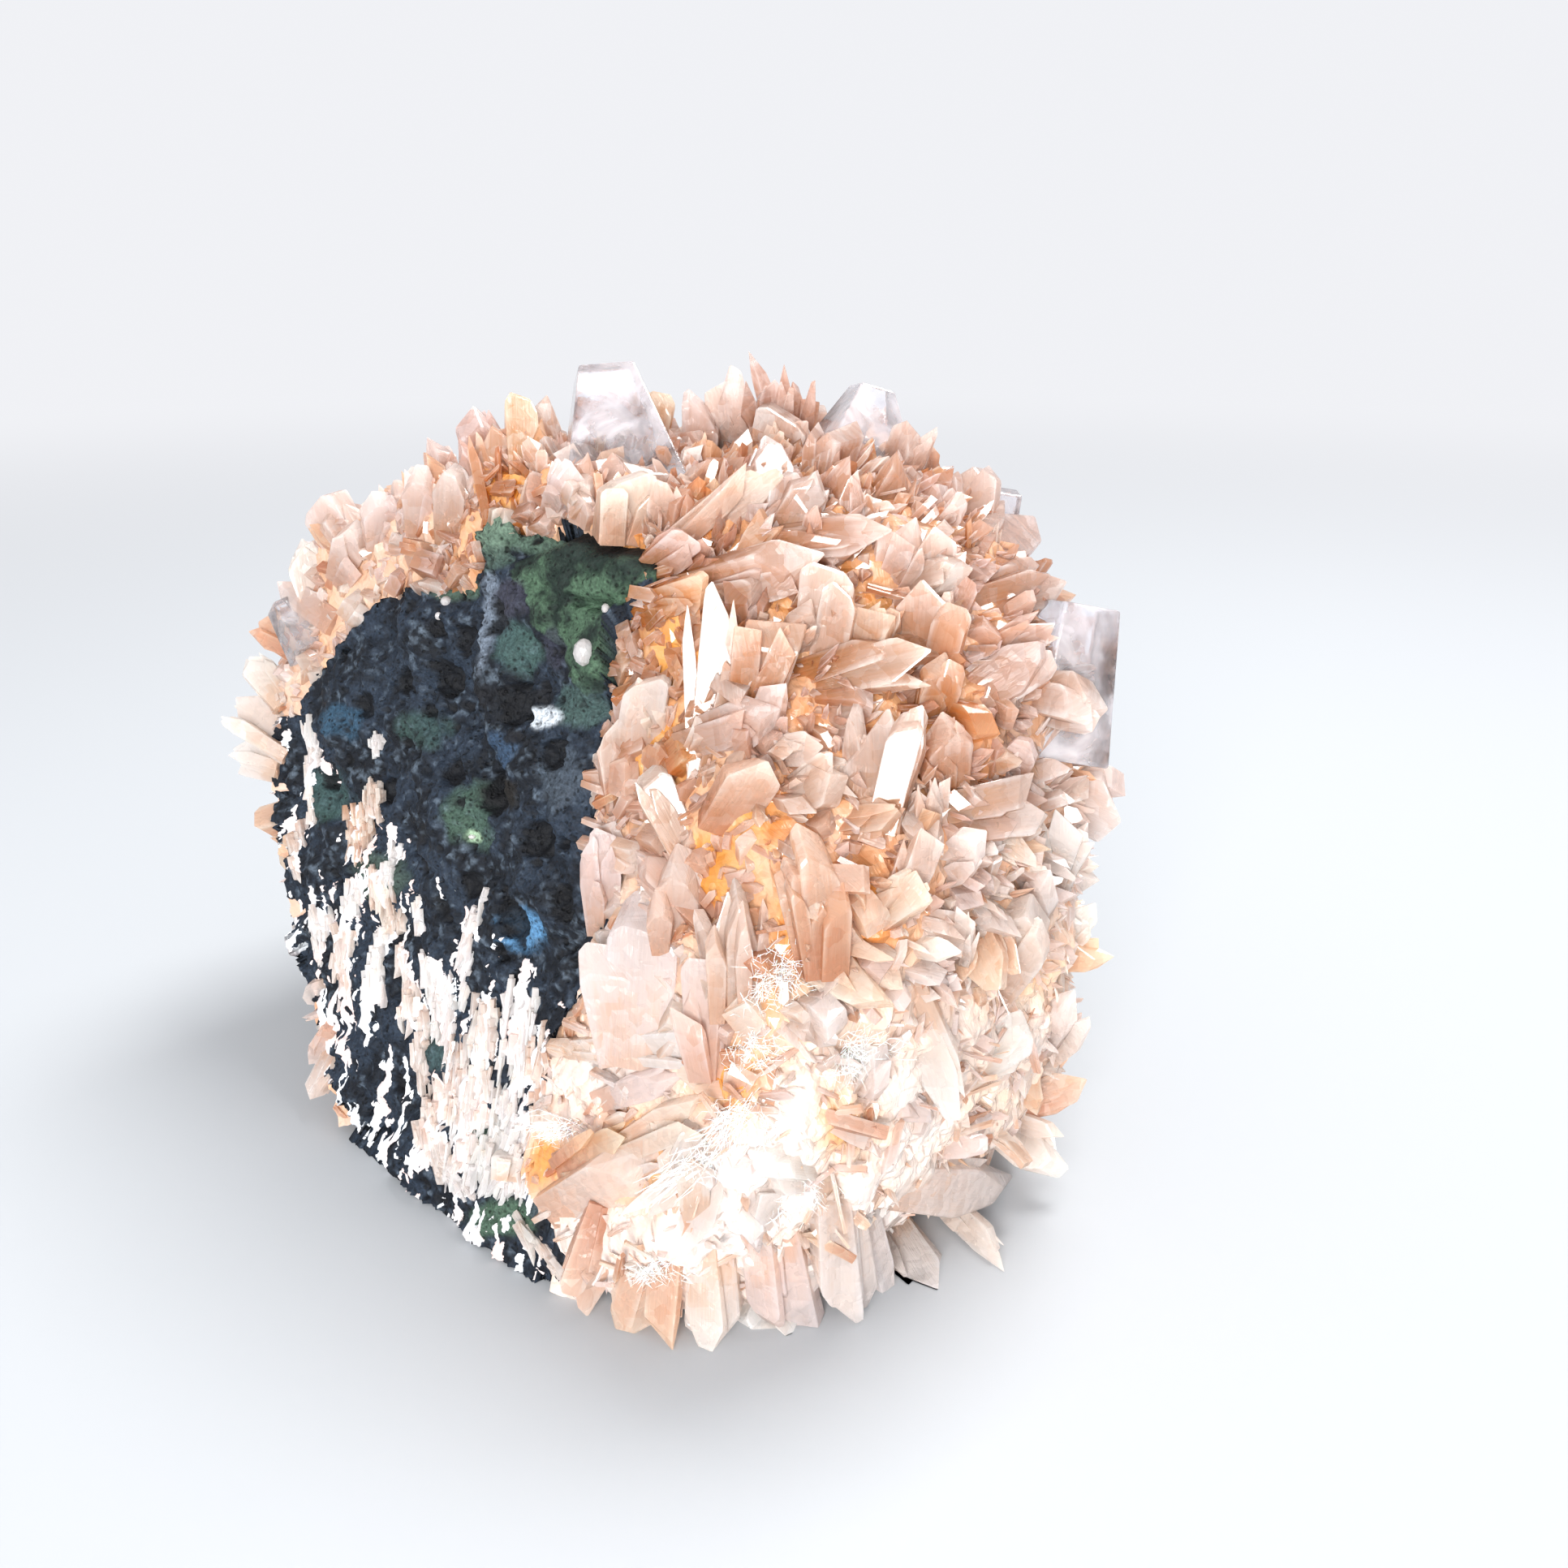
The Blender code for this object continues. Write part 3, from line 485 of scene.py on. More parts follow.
def basaltMaterial():
    made, tree, shader = newMaterial("vesicular basalt, broken")
    tint = addNode(tree, "Attribute", {"attribute_name": "tint"})
    here = addNode(tree, "TexCoord").outputs["Object"]
    grain = addNode(tree, "TexNoise", {"Scale": 5200, "Detail": 3}, {"Vector": here})
    speck = addNode(tree, "MapRange", {1: 0.3, 2: 0.75, 3: 0.55, 4: 1.5}, {0: grain})
    # painted shade: the speck is darkened towards the middle of each tiny bubble, where its hollow would be
    # in shade; the bump sinks them too
    bubbles = addNode(tree, "TexVoronoi", {"Scale": 2100}, {"Vector": here})
    hole = addNode(tree, "MapRange", {1: 0.12, 2: 0.34, 3: 0.25, 4: 1.0}, {0: bubbles})
    speck = addNode(tree, "Math", {"operation": "MULTIPLY"}, {0: speck, 1: hole})
    colour = addNode(tree, "VectorMath", {"operation": "SCALE"}, {0: tint.outputs["Color"], "Scale": speck})
    # zeolite left on the rock: fibrous, with ragged edges
    upright = addNode(tree, "Mapping", {"Scale": (2600, 2600, 420), "Rotation": (0.1, 0.16, 0)},
                      {"Vector": here})
    fibre = addNode(tree, "TexNoise", {"Scale": 1, "Detail": 4, "Roughness": 0.65}, {"Vector": upright})
    edge = addNode(tree, "Math", {"operation": "MULTIPLY_ADD", 1: 1.5},
                   {0: fibre, 2: tint.outputs["Alpha"]})
    share = addNode(tree, "MapRange", {1: 1.2, 2: 1.3}, {0: edge})
    blush = addNode(tree, "TexNoise", {"Scale": 330, "Detail": 2}, {"Vector": here})
    blush = addNode(tree, "MapRange", {1: 0.4, 2: 0.65}, {0: blush})
    white = addNode(tree, "Mix", {"data_type": "RGBA", 6: linear(rock["zeolite"]),
                                            7: linear(rock["zeolitePink"])}, {0: blush})
    colour = addNode(tree, "Mix", {"data_type": "RGBA"}, {0: share, 6: colour, 7: white.outputs[2]})
    tree.links.new(colour.outputs[2], shader.inputs["Base Color"])
    height = addNode(tree, "Math", {"operation": "MULTIPLY_ADD", 1: 1.2}, {0: hole, 2: grain})
    height = addNode(tree, "Mix", None, {0: share, 2: height, 3: edge})
    bump = addNode(tree, "Bump", {"Strength": 0.65, "Distance": 0.12 * mm}, {"Height": height})
    tree.links.new(bump.outputs[0], shader.inputs["Normal"])
    shader.inputs["Roughness"].default_value = 0.72
    shader.inputs["IOR"].default_value = 1.6
    shader.inputs["Specular IOR Level"].default_value = 0.2
    return made


def makeBasalt():
    bm = refinedNet(4, rockSpacing, 7)
    tints = []
    for v in bm.verts:
        d = (v.co - centre).normalized()
        bare = isBare(d)
        face = onBreak(d) and floorReach(d) > breakReach(d)
        reach = rockReach(d)
        point = centre + d * reach
        pixel = pixelOf(point)
        deep = 0
        streak = 0
        if bare and face:
            streak = streakShare(pixel)
            point += breakNormal * (rockRelief(point, pixel) + streak * rock["zeoliteRise"]
                                    * (0.75 + noise.noise(Vector((pixel[0] / 6, pixel[1] / 45, 8)))))
            deep = pitDepth(centre + d * reach) * (1 - streak)
            point -= breakNormal * (deep - rock["grain"] * noise.fractal(point * 1900, 0.7, 2.2, 3))
        elif bare and point.z > 0.3 * mm:
            point -= d * 0.5 * mm * (1 + noise.fractal(point * 500, 0.9, 2.1, 3))
        tints.append([*rockTint(pixel, point, deep, bare and face), streak])
        v.co = point
    bm.normal_update()
    mesh = bpy.data.meshes.new("basalt")
    bm.to_mesh(mesh)
    bm.free()
    layer = mesh.attributes.new("tint", "FLOAT_COLOR", "POINT")
    layer.data.foreach_set("color", np.array(tints).ravel())
    mesh.polygons.foreach_set("use_smooth", [True] * len(mesh.polygons))
    putPiece("basalt", mesh, basaltMaterial(), "basalt", "basalt_matrix")
    print("basalt", len(mesh.polygons))


makeBasalt()

# stilbite: grown crystals, pearly and translucent, amber at the root and pale pink at the tip
stilbite = {
    "seed": 5193,
    "groundSink": 0.6 * mm,
    "groundRough": 0.9 * mm,
    "groundSpacing": 0.9 * mm,
    "massiveHeight": (27 * mm, 15 * mm),  # where the crust turns massive, downwards and forwards
    "massiveFront": (-4 * mm, -18 * mm),
    "amberShare": 0.11,  # share of crystals that are amber or extra pale
    "paleShare": 0.14,
    "flat": (0.45, 0.75),
    # colour from root to tip of a common, an amber and a pale crystal
    "body": [(0, "#D09A6A"), (0.3, "#DAB196"), (0.6, "#E3C9BC"), (1, "#FFFAF7")],
    "amber": [(0, "#DE8520"), (0.45, "#F0B05C"), (1, "#FAE2BC")],
    "light": [(0, "#FAE8D6"), (0.3, "#FEF9F3"), (1, "#FFFFFE")],
}
smallRule = {
    "sites": 4000,
    "width": [0.6, 0.8, 1.0, 1.2, 1.5, 1.9, 2.4],  # mm
    "parts": [1, 2, 2],
    "rise": (-0.5, 1.6),
    "length": 3.0,
    "lean": 0.55,
}
tinyRule = {
    "sites": 9000,
    "width": [0.25, 0.35, 0.5, 0.7, 0.9],
    "parts": [0, 0, 1],
    "rise": (-0.4, 0.8),
    "length": 1.8,
    "lean": 0.7,
}
amberSpots = [  # pixel x, pixel y, radius in pixels, share
    (1020, 1150, 60, 1.0), (870, 1075, 60, 0.9), (850, 800, 55, 0.8), (835, 930, 50, 0.8),
    (900, 1330, 50, 0.9), (1040, 1390, 40, 0.9), (615, 590, 40, 0.7), (800, 960, 50, 0.8),
    (930, 540, 40, 0.6), (1100, 780, 70, 0.5), (760, 640, 40, 0.4), (670, 1440, 34, 0.9),
    (790, 1430, 60, 0.8), (1270, 1200, 60, 0.5), (1340, 1250, 40, 0.5), (1230, 1380, 70, 0.3),
    (520, 640, 50, 0.5), (460, 720, 36, 0.8), (330, 930, 40, 0.7), (400, 760, 24, 0.8),
    (930, 1000, 60, 0.6), (1080, 1130, 60, 0.7), (900, 1240, 60, 0.5), (1000, 930, 60, 0.4),
    (690, 1270, 30, 0.5), (870, 640, 36, 0.5), (1150, 930, 60, 0.4), (990, 740, 60, 0.4),
    (640, 1590, 30, 0.5),
]
# paler places; the four big ones along the bottom front, at (1000, 1580), (820, 1600), (1150, 1480) and
# (700, 1540), are partly painted light
paleSpots = [
    (750, 1050, 40, 1.0), (800, 885, 34, 1.0), (790, 1190, 90, 0.9), (720, 620, 60, 0.8),
    (480, 700, 60, 0.5), (1000, 1580, 150, 1.0), (820, 1600, 110, 1.0), (1150, 1480, 110, 0.9),
    (700, 1540, 60, 1.0), (1240, 1140, 50, 0.8), (1090, 1250, 50, 0.6), (1180, 1310, 50, 0.7),
    (660, 1340, 60, 0.6), (1120, 680, 50, 0.6), (1290, 1100, 50, 0.5), (860, 640, 40, 0.3),
    (960, 600, 40, 0.4), (740, 1260, 60, 0.6), (380, 740, 50, 0.5),
]


def spotShare(pixel, spots):
    best = 0
    for x, y, radius, share in spots:
        away = math.hypot(pixel[0] - x, pixel[1] - y) / radius
        if away < 1.6:
            best = max(best, share * math.exp(-away * away))
    return best


def regionTone(point):  # how amber and how pale the crust is at a point
    d = (point - centre).normalized()
    patch = noise.noise(point * 130)
    # paler low down: partly the crystals' own paler colour, partly painted light for the bright lower front
    pale = 1.25 * smooth(47 * mm, 15 * mm, point.z) + 0.35 * patch
    warm = 0.22 + 0.3 * noise.noise(point * 160 + Vector((9, 2, 4)))
    pale = max(pale, 0.85 * smooth(-5 * mm, -24 * mm, point.x) + 0.3 * patch)
    if (eye["place"] - point).dot(d) > 0:
        pixel = pixelOf(point)
        warm = warm * 0.7 + spotShare(pixel, amberSpots)
        pale = max(pale, spotShare(pixel, paleSpots))
    return min(1, max(0, warm)), min(1, max(0, pale))


# root narrowing, cuts at the head as (axis, height at the side, how far from the middle it meets the top)
habits = {
    "coffin": (0.72, [("x", 0.74, 0.0)]),
    "chisel": (0.80, [("y", 0.78, 0.0)]),
    "spire": (0.95, [("x", 0.45, 0.0), ("y", 0.45, 0.0)]),
    "slab": (0.86, [("x", 0.90, 0.30)]),
    "leaf": (0.60, [("x", 0.62, 0.16)]),
    "needle": (0.9, [("x", 0.9, 0.1)]),
}


def sliceOff(bm, point, normal):
    everything = bm.verts[:] + bm.edges[:] + bm.faces[:]
    cut = bmesh.ops.bisect_plane(bm, geom=everything, plane_co=point, plane_no=normal, clear_outer=True)
    edges = [e for e in cut["geom_cut"] if isinstance(e, bmesh.types.BMEdge)]
    bmesh.ops.holes_fill(bm, edges=edges, sides=0)


def shapeOf(bm):
    bmesh.ops.triangulate(bm, faces=bm.faces)
    bmesh.ops.recalc_face_normals(bm, faces=bm.faces)
    bm.verts.index_update()
    verts = np.array([v.co[:] for v in bm.verts])
    faces = np.array([[v.index for v in f.verts] for f in bm.faces])
    bm.free()
    return verts, faces


def habitShape(name, bevelled):  # a crystal one unit wide, thick and long, as arrays
    root, cuts = habits[name]
    bm = bmesh.new()
    bmesh.ops.create_cube(bm, size=1, matrix=Matrix.Translation((0, 0, 0.5)))
    for v in bm.verts:
        if v.co.z < 0.5:
            v.co.x *= root
            v.co.y *= root
    for axis, side, top in cuts:
        for sign in (-1, 1):
            along = Vector((sign, 0, 0)) if axis == "x" else Vector((0, sign, 0))
            low = along * 0.5 + Vector((0, 0, side))
            sliceOff(bm, low, along * (1 - side) + Vector((0, 0, 0.5 - top)))
    bmesh.ops.remove_doubles(bm, verts=bm.verts, dist=0.01)
    if bevelled:
        edges = [e for e in bm.edges if max(v.co.z for v in e.verts) > 0.01]
        bmesh.ops.bevel(bm, geom=edges, offset=0.03, offset_type="OFFSET", segments=1, profile=0.5,
                        affect="EDGES", material=-1)
    return shapeOf(bm)


plainShapes = {name: habitShape(name, False) for name in habits}
roundShapes = {name: habitShape(name, True) for name in habits}


class Batch:  # many small crystals gathered into one mesh
    def __init__(self):
        self.verts = []
        self.faces = []
        self.growth = []
        self.paintedRim = []
        self.lengthwise = []
        self.count = 0

    def add(self, shape, whole, size, growth, slip, skew=(0, 0, 0)):
        verts, faces = shape
        # the crystal's own unit coordinates, kept for the painted highlight along blade edges
        self.paintedRim.append(verts * 2)
        if any(skew):  # a head that slants, and a body that narrows
            verts = verts.copy()
            top = np.clip(verts[:, 2] * 2 - 0.8, 0, 1)
            verts[:, 2] *= 1 + top * (skew[0] * verts[:, 0] + skew[1] * verts[:, 1])
            verts[:, :2] *= 1 + skew[2] * (verts[:, 2:3] - 0.5)
        turned = verts @ np.array(whole.to_3x3()).T + np.array(whole.translation)
        along = verts[:, 2:3]
        low, high, warm, pale, tone = growth
        marks = np.concatenate([low + (high - low) * along, np.full_like(along, warm),
                                np.full_like(along, pale), np.full_like(along, tone)], 1)
        strip = np.stack([(verts[:, 0] * size[0] + verts[:, 1] * size[1]) / mm + slip,
                          verts[:, 2] * size[2] / mm + slip], 1)
        self.verts.append(turned)
        self.faces.append(faces + self.count)
        self.growth.append(marks)
        self.lengthwise.append(strip)
        self.count += len(verts)

    def mesh(self, name):
        verts = np.concatenate(self.verts)
        verts[:, 2] = np.maximum(verts[:, 2], 0.02 * mm)  # flat where it meets the floor
        faces = np.concatenate(self.faces)
        made = bpy.data.meshes.new(name)
        made.from_pydata(verts.tolist(), [], faces.tolist())
        layer = made.attributes.new("growth", "FLOAT_COLOR", "POINT")
        layer.data.foreach_set("color", np.concatenate(self.growth).ravel())
        paintedRimPlace = made.attributes.new("paintedRim", "FLOAT_VECTOR", "POINT")
        paintedRimPlace.data.foreach_set("vector", np.concatenate(self.paintedRim).ravel())
        strip = np.concatenate(self.lengthwise)[faces.ravel()]
        made.uv_layers.new(name="lengthwise").data.foreach_set("uv", strip.ravel())
        print(name, len(faces))
        return made


def stand(batch, habit, root, tip, width, thickness, facing, turn, growth, dice, rounded=False):
    along = (tip - root).normalized()
    side = facing.cross(along)
    side = side.normalized() if side.length > 1e-6 else along.orthogonal().normalized()
    frameOf = Matrix((side, along.cross(side), along)).transposed().to_4x4()
    size = (width, thickness, (tip - root).length)
    whole = Matrix.Translation(root) @ frameOf @ Matrix.Rotation(turn, 4, "Z") @ Matrix.Diagonal((*size, 1))
    shape = (roundShapes if rounded else plainShapes)[habit]
    skew = (dice.uniform(-0.35, 0.35), dice.uniform(-0.3, 0.3), dice.uniform(-0.3, 0.12))
    batch.add(shape, whole, size, growth, dice.uniform(0, 50), skew)


def sheaf(batch, habit, root, tip, width, thickness, facing, turn, dice, rounded, parts, growth,
          spread=0.45):  # a blade with thinner ones grown beside it, a little shorter and fanned out
    stand(batch, habit, root, tip, width, thickness, facing, turn, growth, dice, rounded)
    along = (tip - root).normalized()
    side = facing.cross(along).normalized()
    back = along.cross(side)
    for part in range(parts):
        share = dice.uniform(0.35, 0.75)
        shift = side * dice.uniform(-spread, spread) * width + back * dice.uniform(-0.8, 0.8) * thickness
        fan = side * dice.uniform(-0.12, 0.12) + back * dice.uniform(-0.12, 0.12)
        length = (tip - root).length * dice.uniform(0.62, 0.97)
        low, high, warm, pale, tone = growth
        tone = min(1, max(0, tone + dice.uniform(-0.2, 0.2)))
        marks = (low, high * length / (tip - root).length, warm, pale, tone)
        stand(batch, dice.choice(["coffin", "slab", "leaf", "chisel"]), root + shift * 0.6,
              root + shift + (along + fan).normalized() * length, width * share,
              thickness * dice.uniform(0.35, 0.7), facing, turn + dice.uniform(-0.25, 0.25), marks, dice,
              rounded)


def stayInBox(root, tip):  # shortens a crystal that would leave the specimen's own box
    for share in (1, 0.85, 0.7, 0.55, 0.4):
        end = root + (tip - root) * share
        if all(cadBox[0][i] <= end[i] <= cadBox[1][i] for i in range(3)):
            return end
    return None


# root pixel, tip pixel, width in mm, habit, as the solid has them
topBlades = [
    ((845, 668), (945, 590), 2.9, "leaf"), ((950, 620), (950, 546), 3.2, "leaf"),
    ((965, 650), (976, 580), 3.4, "coffin"), ((905, 560), (903, 470), 3.2, "leaf"),
    ((862, 560), (860, 496), 2.6, "slab"), ((965, 545), (962, 467), 4.4, "spire"),
    ((1055, 640), (1053, 583), 2.0, "spire"), ((965, 672), (1085, 662), 3.0, "coffin"),
    ((872, 722), (994, 694), 3.6, "coffin"), ((785, 752), (868, 728), 2.6, "slab"),
    ((866, 925), (888, 742), 2.0, "slab"), ((935, 850), (958, 765), 3.5, "chisel"),
    ((878, 905), (950, 878), 3.4, "coffin"), ((945, 895), (953, 843), 2.0, "chisel"),
    ((960, 925), (1012, 920), 2.2, "coffin"), ((1012, 790), (1022, 703), 3.4, "slab"),
    ((1068, 800), (1080, 752), 2.5, "chisel"), ((1020, 838), (1137, 810), 3.0, "coffin"),
    ((1080, 975), (1095, 868), 3.8, "spire"), ((1148, 1020), (1152, 955), 1.7, "spire"),
    ((1050, 1010), (1110, 1000), 2.3, "coffin"), ((1108, 708), (1126, 652), 2.4, "coffin"),
    ((1152, 712), (1150, 655), 2.9, "coffin"), ((1140, 716), (1187, 700), 2.6, "coffin"),
    ((1137, 792), (1140, 723), 3.5, "coffin"), ((1135, 592), (1140, 546), 1.7, "leaf"),
    ((1190, 650), (1195, 581), 3.7, "leaf"), ((1213, 700), (1272, 641), 3.5, "coffin"),
    ((1208, 742), (1306, 716), 2.9, "coffin"), ((1235, 802), (1290, 771), 2.3, "coffin"),
    ((1212, 850), (1285, 802), 3.5, "leaf"), ((1150, 872), (1166, 815), 2.8, "coffin"),
    ((1250, 952), (1262, 910), 2.4, "leaf"), ((1168, 952), (1166, 890), 2.9, "coffin"),
    ((1200, 1010), (1290, 1002), 3.0, "coffin"), ((1172, 1060), (1210, 1030), 2.5, "coffin"),
    ((975, 800), (1000, 745), 2.4, "coffin"), ((800, 700), (850, 660), 2.2, "slab"),
    ((790, 900), (800, 838), 3.0, "slab"), ((760, 960), (752, 905), 2.0, "slab"),
    ((900, 990), (940, 935), 3.6, "coffin"), ((985, 985), (1035, 955), 2.8, "coffin"),
]
frontBlades = [
    ((1010, 1150), (1002, 1042), 5.2, "slab"), ((905, 1200), (914, 1105), 4.6, "leaf"),
    ((955, 1160), (1098, 1236), 2.9, "coffin"), ((1128, 1240), (1172, 1360), 2.9, "leaf"),
    ((1290, 1310), (1312, 1234), 3.0, "coffin"), ((1232, 1190), (1268, 1114), 4.0, "coffin"),
    ((1272, 1134), (1288, 1084), 2.4, "coffin"), ((1308, 1180), (1362, 1180), 2.2, "coffin"),
    ((1296, 1090), (1318, 1012), 2.2, "chisel"), ((1318, 1150), (1349, 1112), 2.0, "coffin"),
    ((1290, 1372), (1332, 1330), 2.8, "coffin"), ((1198, 1150), (1226, 1220), 3.4, "leaf"),
    ((1184, 1200), (1190, 1125), 1.4, "chisel"), ((792, 1262), (800, 1125), 5.0, "slab"),
    ((870, 1268), (870, 1195), 2.8, "slab"), ((832, 1122), (840, 1064), 3.2, "leaf"),
    ((748, 1100), (745, 1040), 2.2, "slab"), ((700, 1292), (870, 1282), 1.8, "slab"),
    ((925, 1345), (838, 1322), 3.0, "coffin"), ((760, 1345), (828, 1328), 2.0, "coffin"),
    ((770, 1402), (862, 1350), 1.8, "coffin"), ((690, 1480), (802, 1428), 3.8, "coffin"),
    ((715, 1420), (772, 1402), 2.4, "coffin"), ((860, 1462), (852, 1385), 3.2, "leaf"),
    ((895, 1405), (800, 1500), 1.8, "coffin"), ((890, 1420), (850, 1530), 2.2, "coffin"),
    ((905, 1440), (930, 1540), 2.4, "coffin"), ((1030, 1470), (1050, 1642), 4.4, "leaf"),
    ((1085, 1460), (1236, 1466), 4.2, "leaf"), ((1100, 1515), (1154, 1600), 3.5, "coffin"),
    ((1172, 1508), (1230, 1542), 2.2, "coffin"), ((1000, 1362), (1070, 1404), 1.7, "chisel"),
    ((1103, 1352), (1150, 1380), 1.8, "coffin"), ((985, 1430), (935, 1420), 3.0, "coffin"),
    ((960, 1500), (935, 1470), 2.6, "coffin"), ((955, 1520), (985, 1650), 3.4, "slab"),
    ((880, 1560), (880, 1660), 4.2, "leaf"), ((800, 1560), (775, 1655), 3.8, "leaf"),
    ((740, 1520), (720, 1600), 3.0, "leaf"), ((1240, 1400), (1300, 1440), 3.2, "leaf"),
    ((1180, 1390), (1215, 1380), 3.0, "coffin"), ((1210, 1290), (1262, 1262), 4.0, "slab"),
    ((1085, 1130), (1140, 1090), 2.2, "chisel"), ((1110, 1110), (1150, 1030), 1.8, "chisel"),
    ((1060, 1330), (1085, 1290), 2.6, "coffin"), ((640, 1460), (628, 1420), 2.2, "slab"),
    ((825, 1010), (800, 955), 2.4, "slab"), ((830, 1085), (790, 1050), 2.4, "coffin"),
    ((960, 1590), (935, 1652), 3.4, "slab"), ((1010, 1530), (985, 1590), 3.0, "leaf"),
]
rimBlades = [
    ((640, 600), (641, 502), 2.4, "slab"), ((668, 570), (672, 499), 2.8, "coffin"),
    ((610, 622), (606, 522), 2.4, "coffin"), ((565, 652), (560, 578), 3.0, "leaf"),
    ((528, 645), (518, 584), 2.8, "leaf"), ((482, 664), (470, 615), 3.2, "leaf"),
    ((440, 700), (440, 652), 3.0, "leaf"), ((392, 732), (373, 668), 2.6, "coffin"),
    ((365, 792), (324, 768), 3.2, "coffin"), ((345, 850), (306, 812), 2.8, "coffin"),
    ((342, 905), (295, 862), 3.2, "coffin"), ((340, 950), (296, 925), 2.6, "coffin"),
    ((405, 760), (352, 722), 2.6, "coffin"), ((800, 560), (812, 492), 2.6, "slab"),
    ((835, 560), (830, 512), 1.8, "spire"), ((700, 632), (705, 592), 2.4, "slab"),
    ((770, 640), (775, 588), 3.6, "slab"), ((820, 650), (815, 600), 2.6, "leaf"),
]
bladeRule = {
    "keySink": 0.8 * mm,
    "rootSink": 2.2 * mm,
    "rootMargin": 1.1 * mm,
    "tipRise": 2.0 * mm,
    "turn": 0.5,
}
fillRule = {"tries": 180, "width": (4.6, 7.2), "rise": (1.6, 3.4), "clearance": 40}


def rooted(root, tip):
    for step in range(20):
        if not isBare((root - centre).normalized()):
            break
        root = root.lerp(tip, 0.1)
    out = root - centre
    d = out.normalized()
    deepest = rockReach(d) + form["jointGap"] + bladeRule["rootMargin"]
    return centre + d * max(deepest, min(out.length, outerReach(d) - bladeRule["rootMargin"]))


def massiveShare(point):  # the low front is a fibrous mass that the crystals hardly stand out of
    return smooth(*stilbite["massiveHeight"], point.z) * smooth(*stilbite["massiveFront"], point.y)


def crystalGrowth(point, dice, low=0.0, high=1.0):
    warm, pale = regionTone(point)
    own = dice.random()
    warm = warm * 0.6 * (1 - 0.4 * pale) + (0.4 if own < stilbite["amberShare"] else 0)
    pale = pale * dice.uniform(0.8, 1.1) + (0.45 if own > 1 - stilbite["paleShare"] else 0)
    # the low front mass is made pale: partly its own pale fibrous colour, partly painted light where it
    # stands in the shade of the overhang
    pale = max(pale, massiveShare(point))
    return (low, high, min(1, warm), min(1, pale), dice.random())


def keyBlades(batch, dice, side):
    taken = []
    for blades in (topBlades, frontBlades, rimBlades):
        for rootPixel, tipPixel, width, habit in blades:
            root = seenPoint(rootPixel, -bladeRule["keySink"])
            massive = massiveShare(root)
            tip = seenPoint(tipPixel, bladeRule["tipRise"] * (1 - 0.7 * massive))
            root = rooted(root + (root - tip).normalized() * bladeRule["rootSink"], tip)
            flat = dice.uniform(*stilbite["flat"])
            turn = dice.uniform(-bladeRule["turn"], bladeRule["turn"])
            growth = crystalGrowth((root + tip) / 2, side)
            wide = width > 4.1 and massive < 0.5  # a wide one is a bundle
            sheaf(batch, habit, root, tip, width * (0.48 if wide else 1) * mm, width * flat * 0.8 * mm,
                  eye["place"] - tip, turn, side, True, 9 if wide else side.choice([3, 4, 5]), growth,
                  0.95 if wide else 0.45)
            for share in (0.0, 0.5, 1.0):
                taken.append((rootPixel[0] + (tipPixel[0] - rootPixel[0]) * share,
                              rootPixel[1] + (tipPixel[1] - rootPixel[1]) * share))
    return taken


def spiral(count):
    golden = math.pi * (3 - math.sqrt(5))
    for i in range(count):
        z = 1 - 2 * (i + 0.5) / count
        flat = math.sqrt(1 - z * z)
        yield Vector((flat * math.cos(golden * i), flat * math.sin(golden * i), z))


def fillBlades(batch, dice, side, taken):
    names = ["coffin", "coffin", "leaf", "slab", "chisel", "coffin"]
    for d in spiral(fillRule["tries"]):
        lean = Vector((dice.uniform(-1, 1), dice.uniform(-1, 1), dice.uniform(-0.6, 1)))
        width = dice.uniform(*fillRule["width"]) * mm
        rise = dice.uniform(*fillRule["rise"]) * mm * (1 - 0.6 * smooth(0.1, -0.5, d.z))
        flat = dice.uniform(*stilbite["flat"])
        turn = dice.uniform(0, math.pi)
        habit = dice.choice(names)
        if isBare(d) or onBreak(d):
            continue
        surface = centre + d * bodyReach(d)
        along = (d + lean * 0.45).normalized()
        root = surface - along * bladeRule["rootSink"]
        tip = surface + along * rise
        pixel = pixelOf(tip)
        facesEye = (eye["place"] - surface).dot(d) > 0
        if facesEye and any(math.dist(pixel, near) < fillRule["clearance"] for near in taken):
            continue
        if tip.z < 0.4 * mm:
            continue
        sheaf(batch, habit, root, tip, width * 0.62, width * flat * 0.5, d, turn, side, True, 4,
              crystalGrowth(surface, side))


def littleBlades(batch, side, rule):
    # smaller crystals in between, in groups that share a direction as sheaves do
    for d in spiral(rule["sites"]):
        d = (d + Vector([side.uniform(-0.03, 0.03) for i in range(3)])).normalized()
        lean = Vector([side.uniform(-1, 1) for i in range(3)])
        size = side.choice(rule["width"])
        parts = side.choice(rule["parts"])
        turn = side.uniform(0, math.pi)
        habit = side.choice(["coffin", "slab", "leaf", "slab", "chisel", "chisel"])
        if isBare(d):
            continue
        surface = centre + d * outerReach(d)
        if surface.z < 1.2 * mm:
            continue
        flush = onBreak(d)
        massive = massiveShare(surface)
        along = (d + lean * rule["lean"] * (1 + 2 * massive)).normalized()
        if flush:
            slant = Vector((side.uniform(-0.2, 1), 0, side.uniform(-0.3, 1)))
            along = (breakNormal * 0.35 + slant * 0.8).normalized()
        elif along.dot(d) < 0.2:
            along = (along + d * 0.3).normalized()
        rise = (0.3 if flush else side.uniform(*rule["rise"]) * (1 - 0.3 * massive)) * mm
        size *= 1 - 0.5 * massive
        root = surface - along * (0.55 if flush else 1) * rule["length"] * mm
        tip = stayInBox(root, surface + along * rise)
        if tip is None or tip.z < 0.3 * mm:
            continue
        thickness = size * side.uniform(0.35, 0.75) * mm
        sheaf(batch, habit, root, tip, size * mm, thickness, d, turn, side, False, parts,
              crystalGrowth(surface, side, 0.05, side.uniform(0.45, 1.0)))


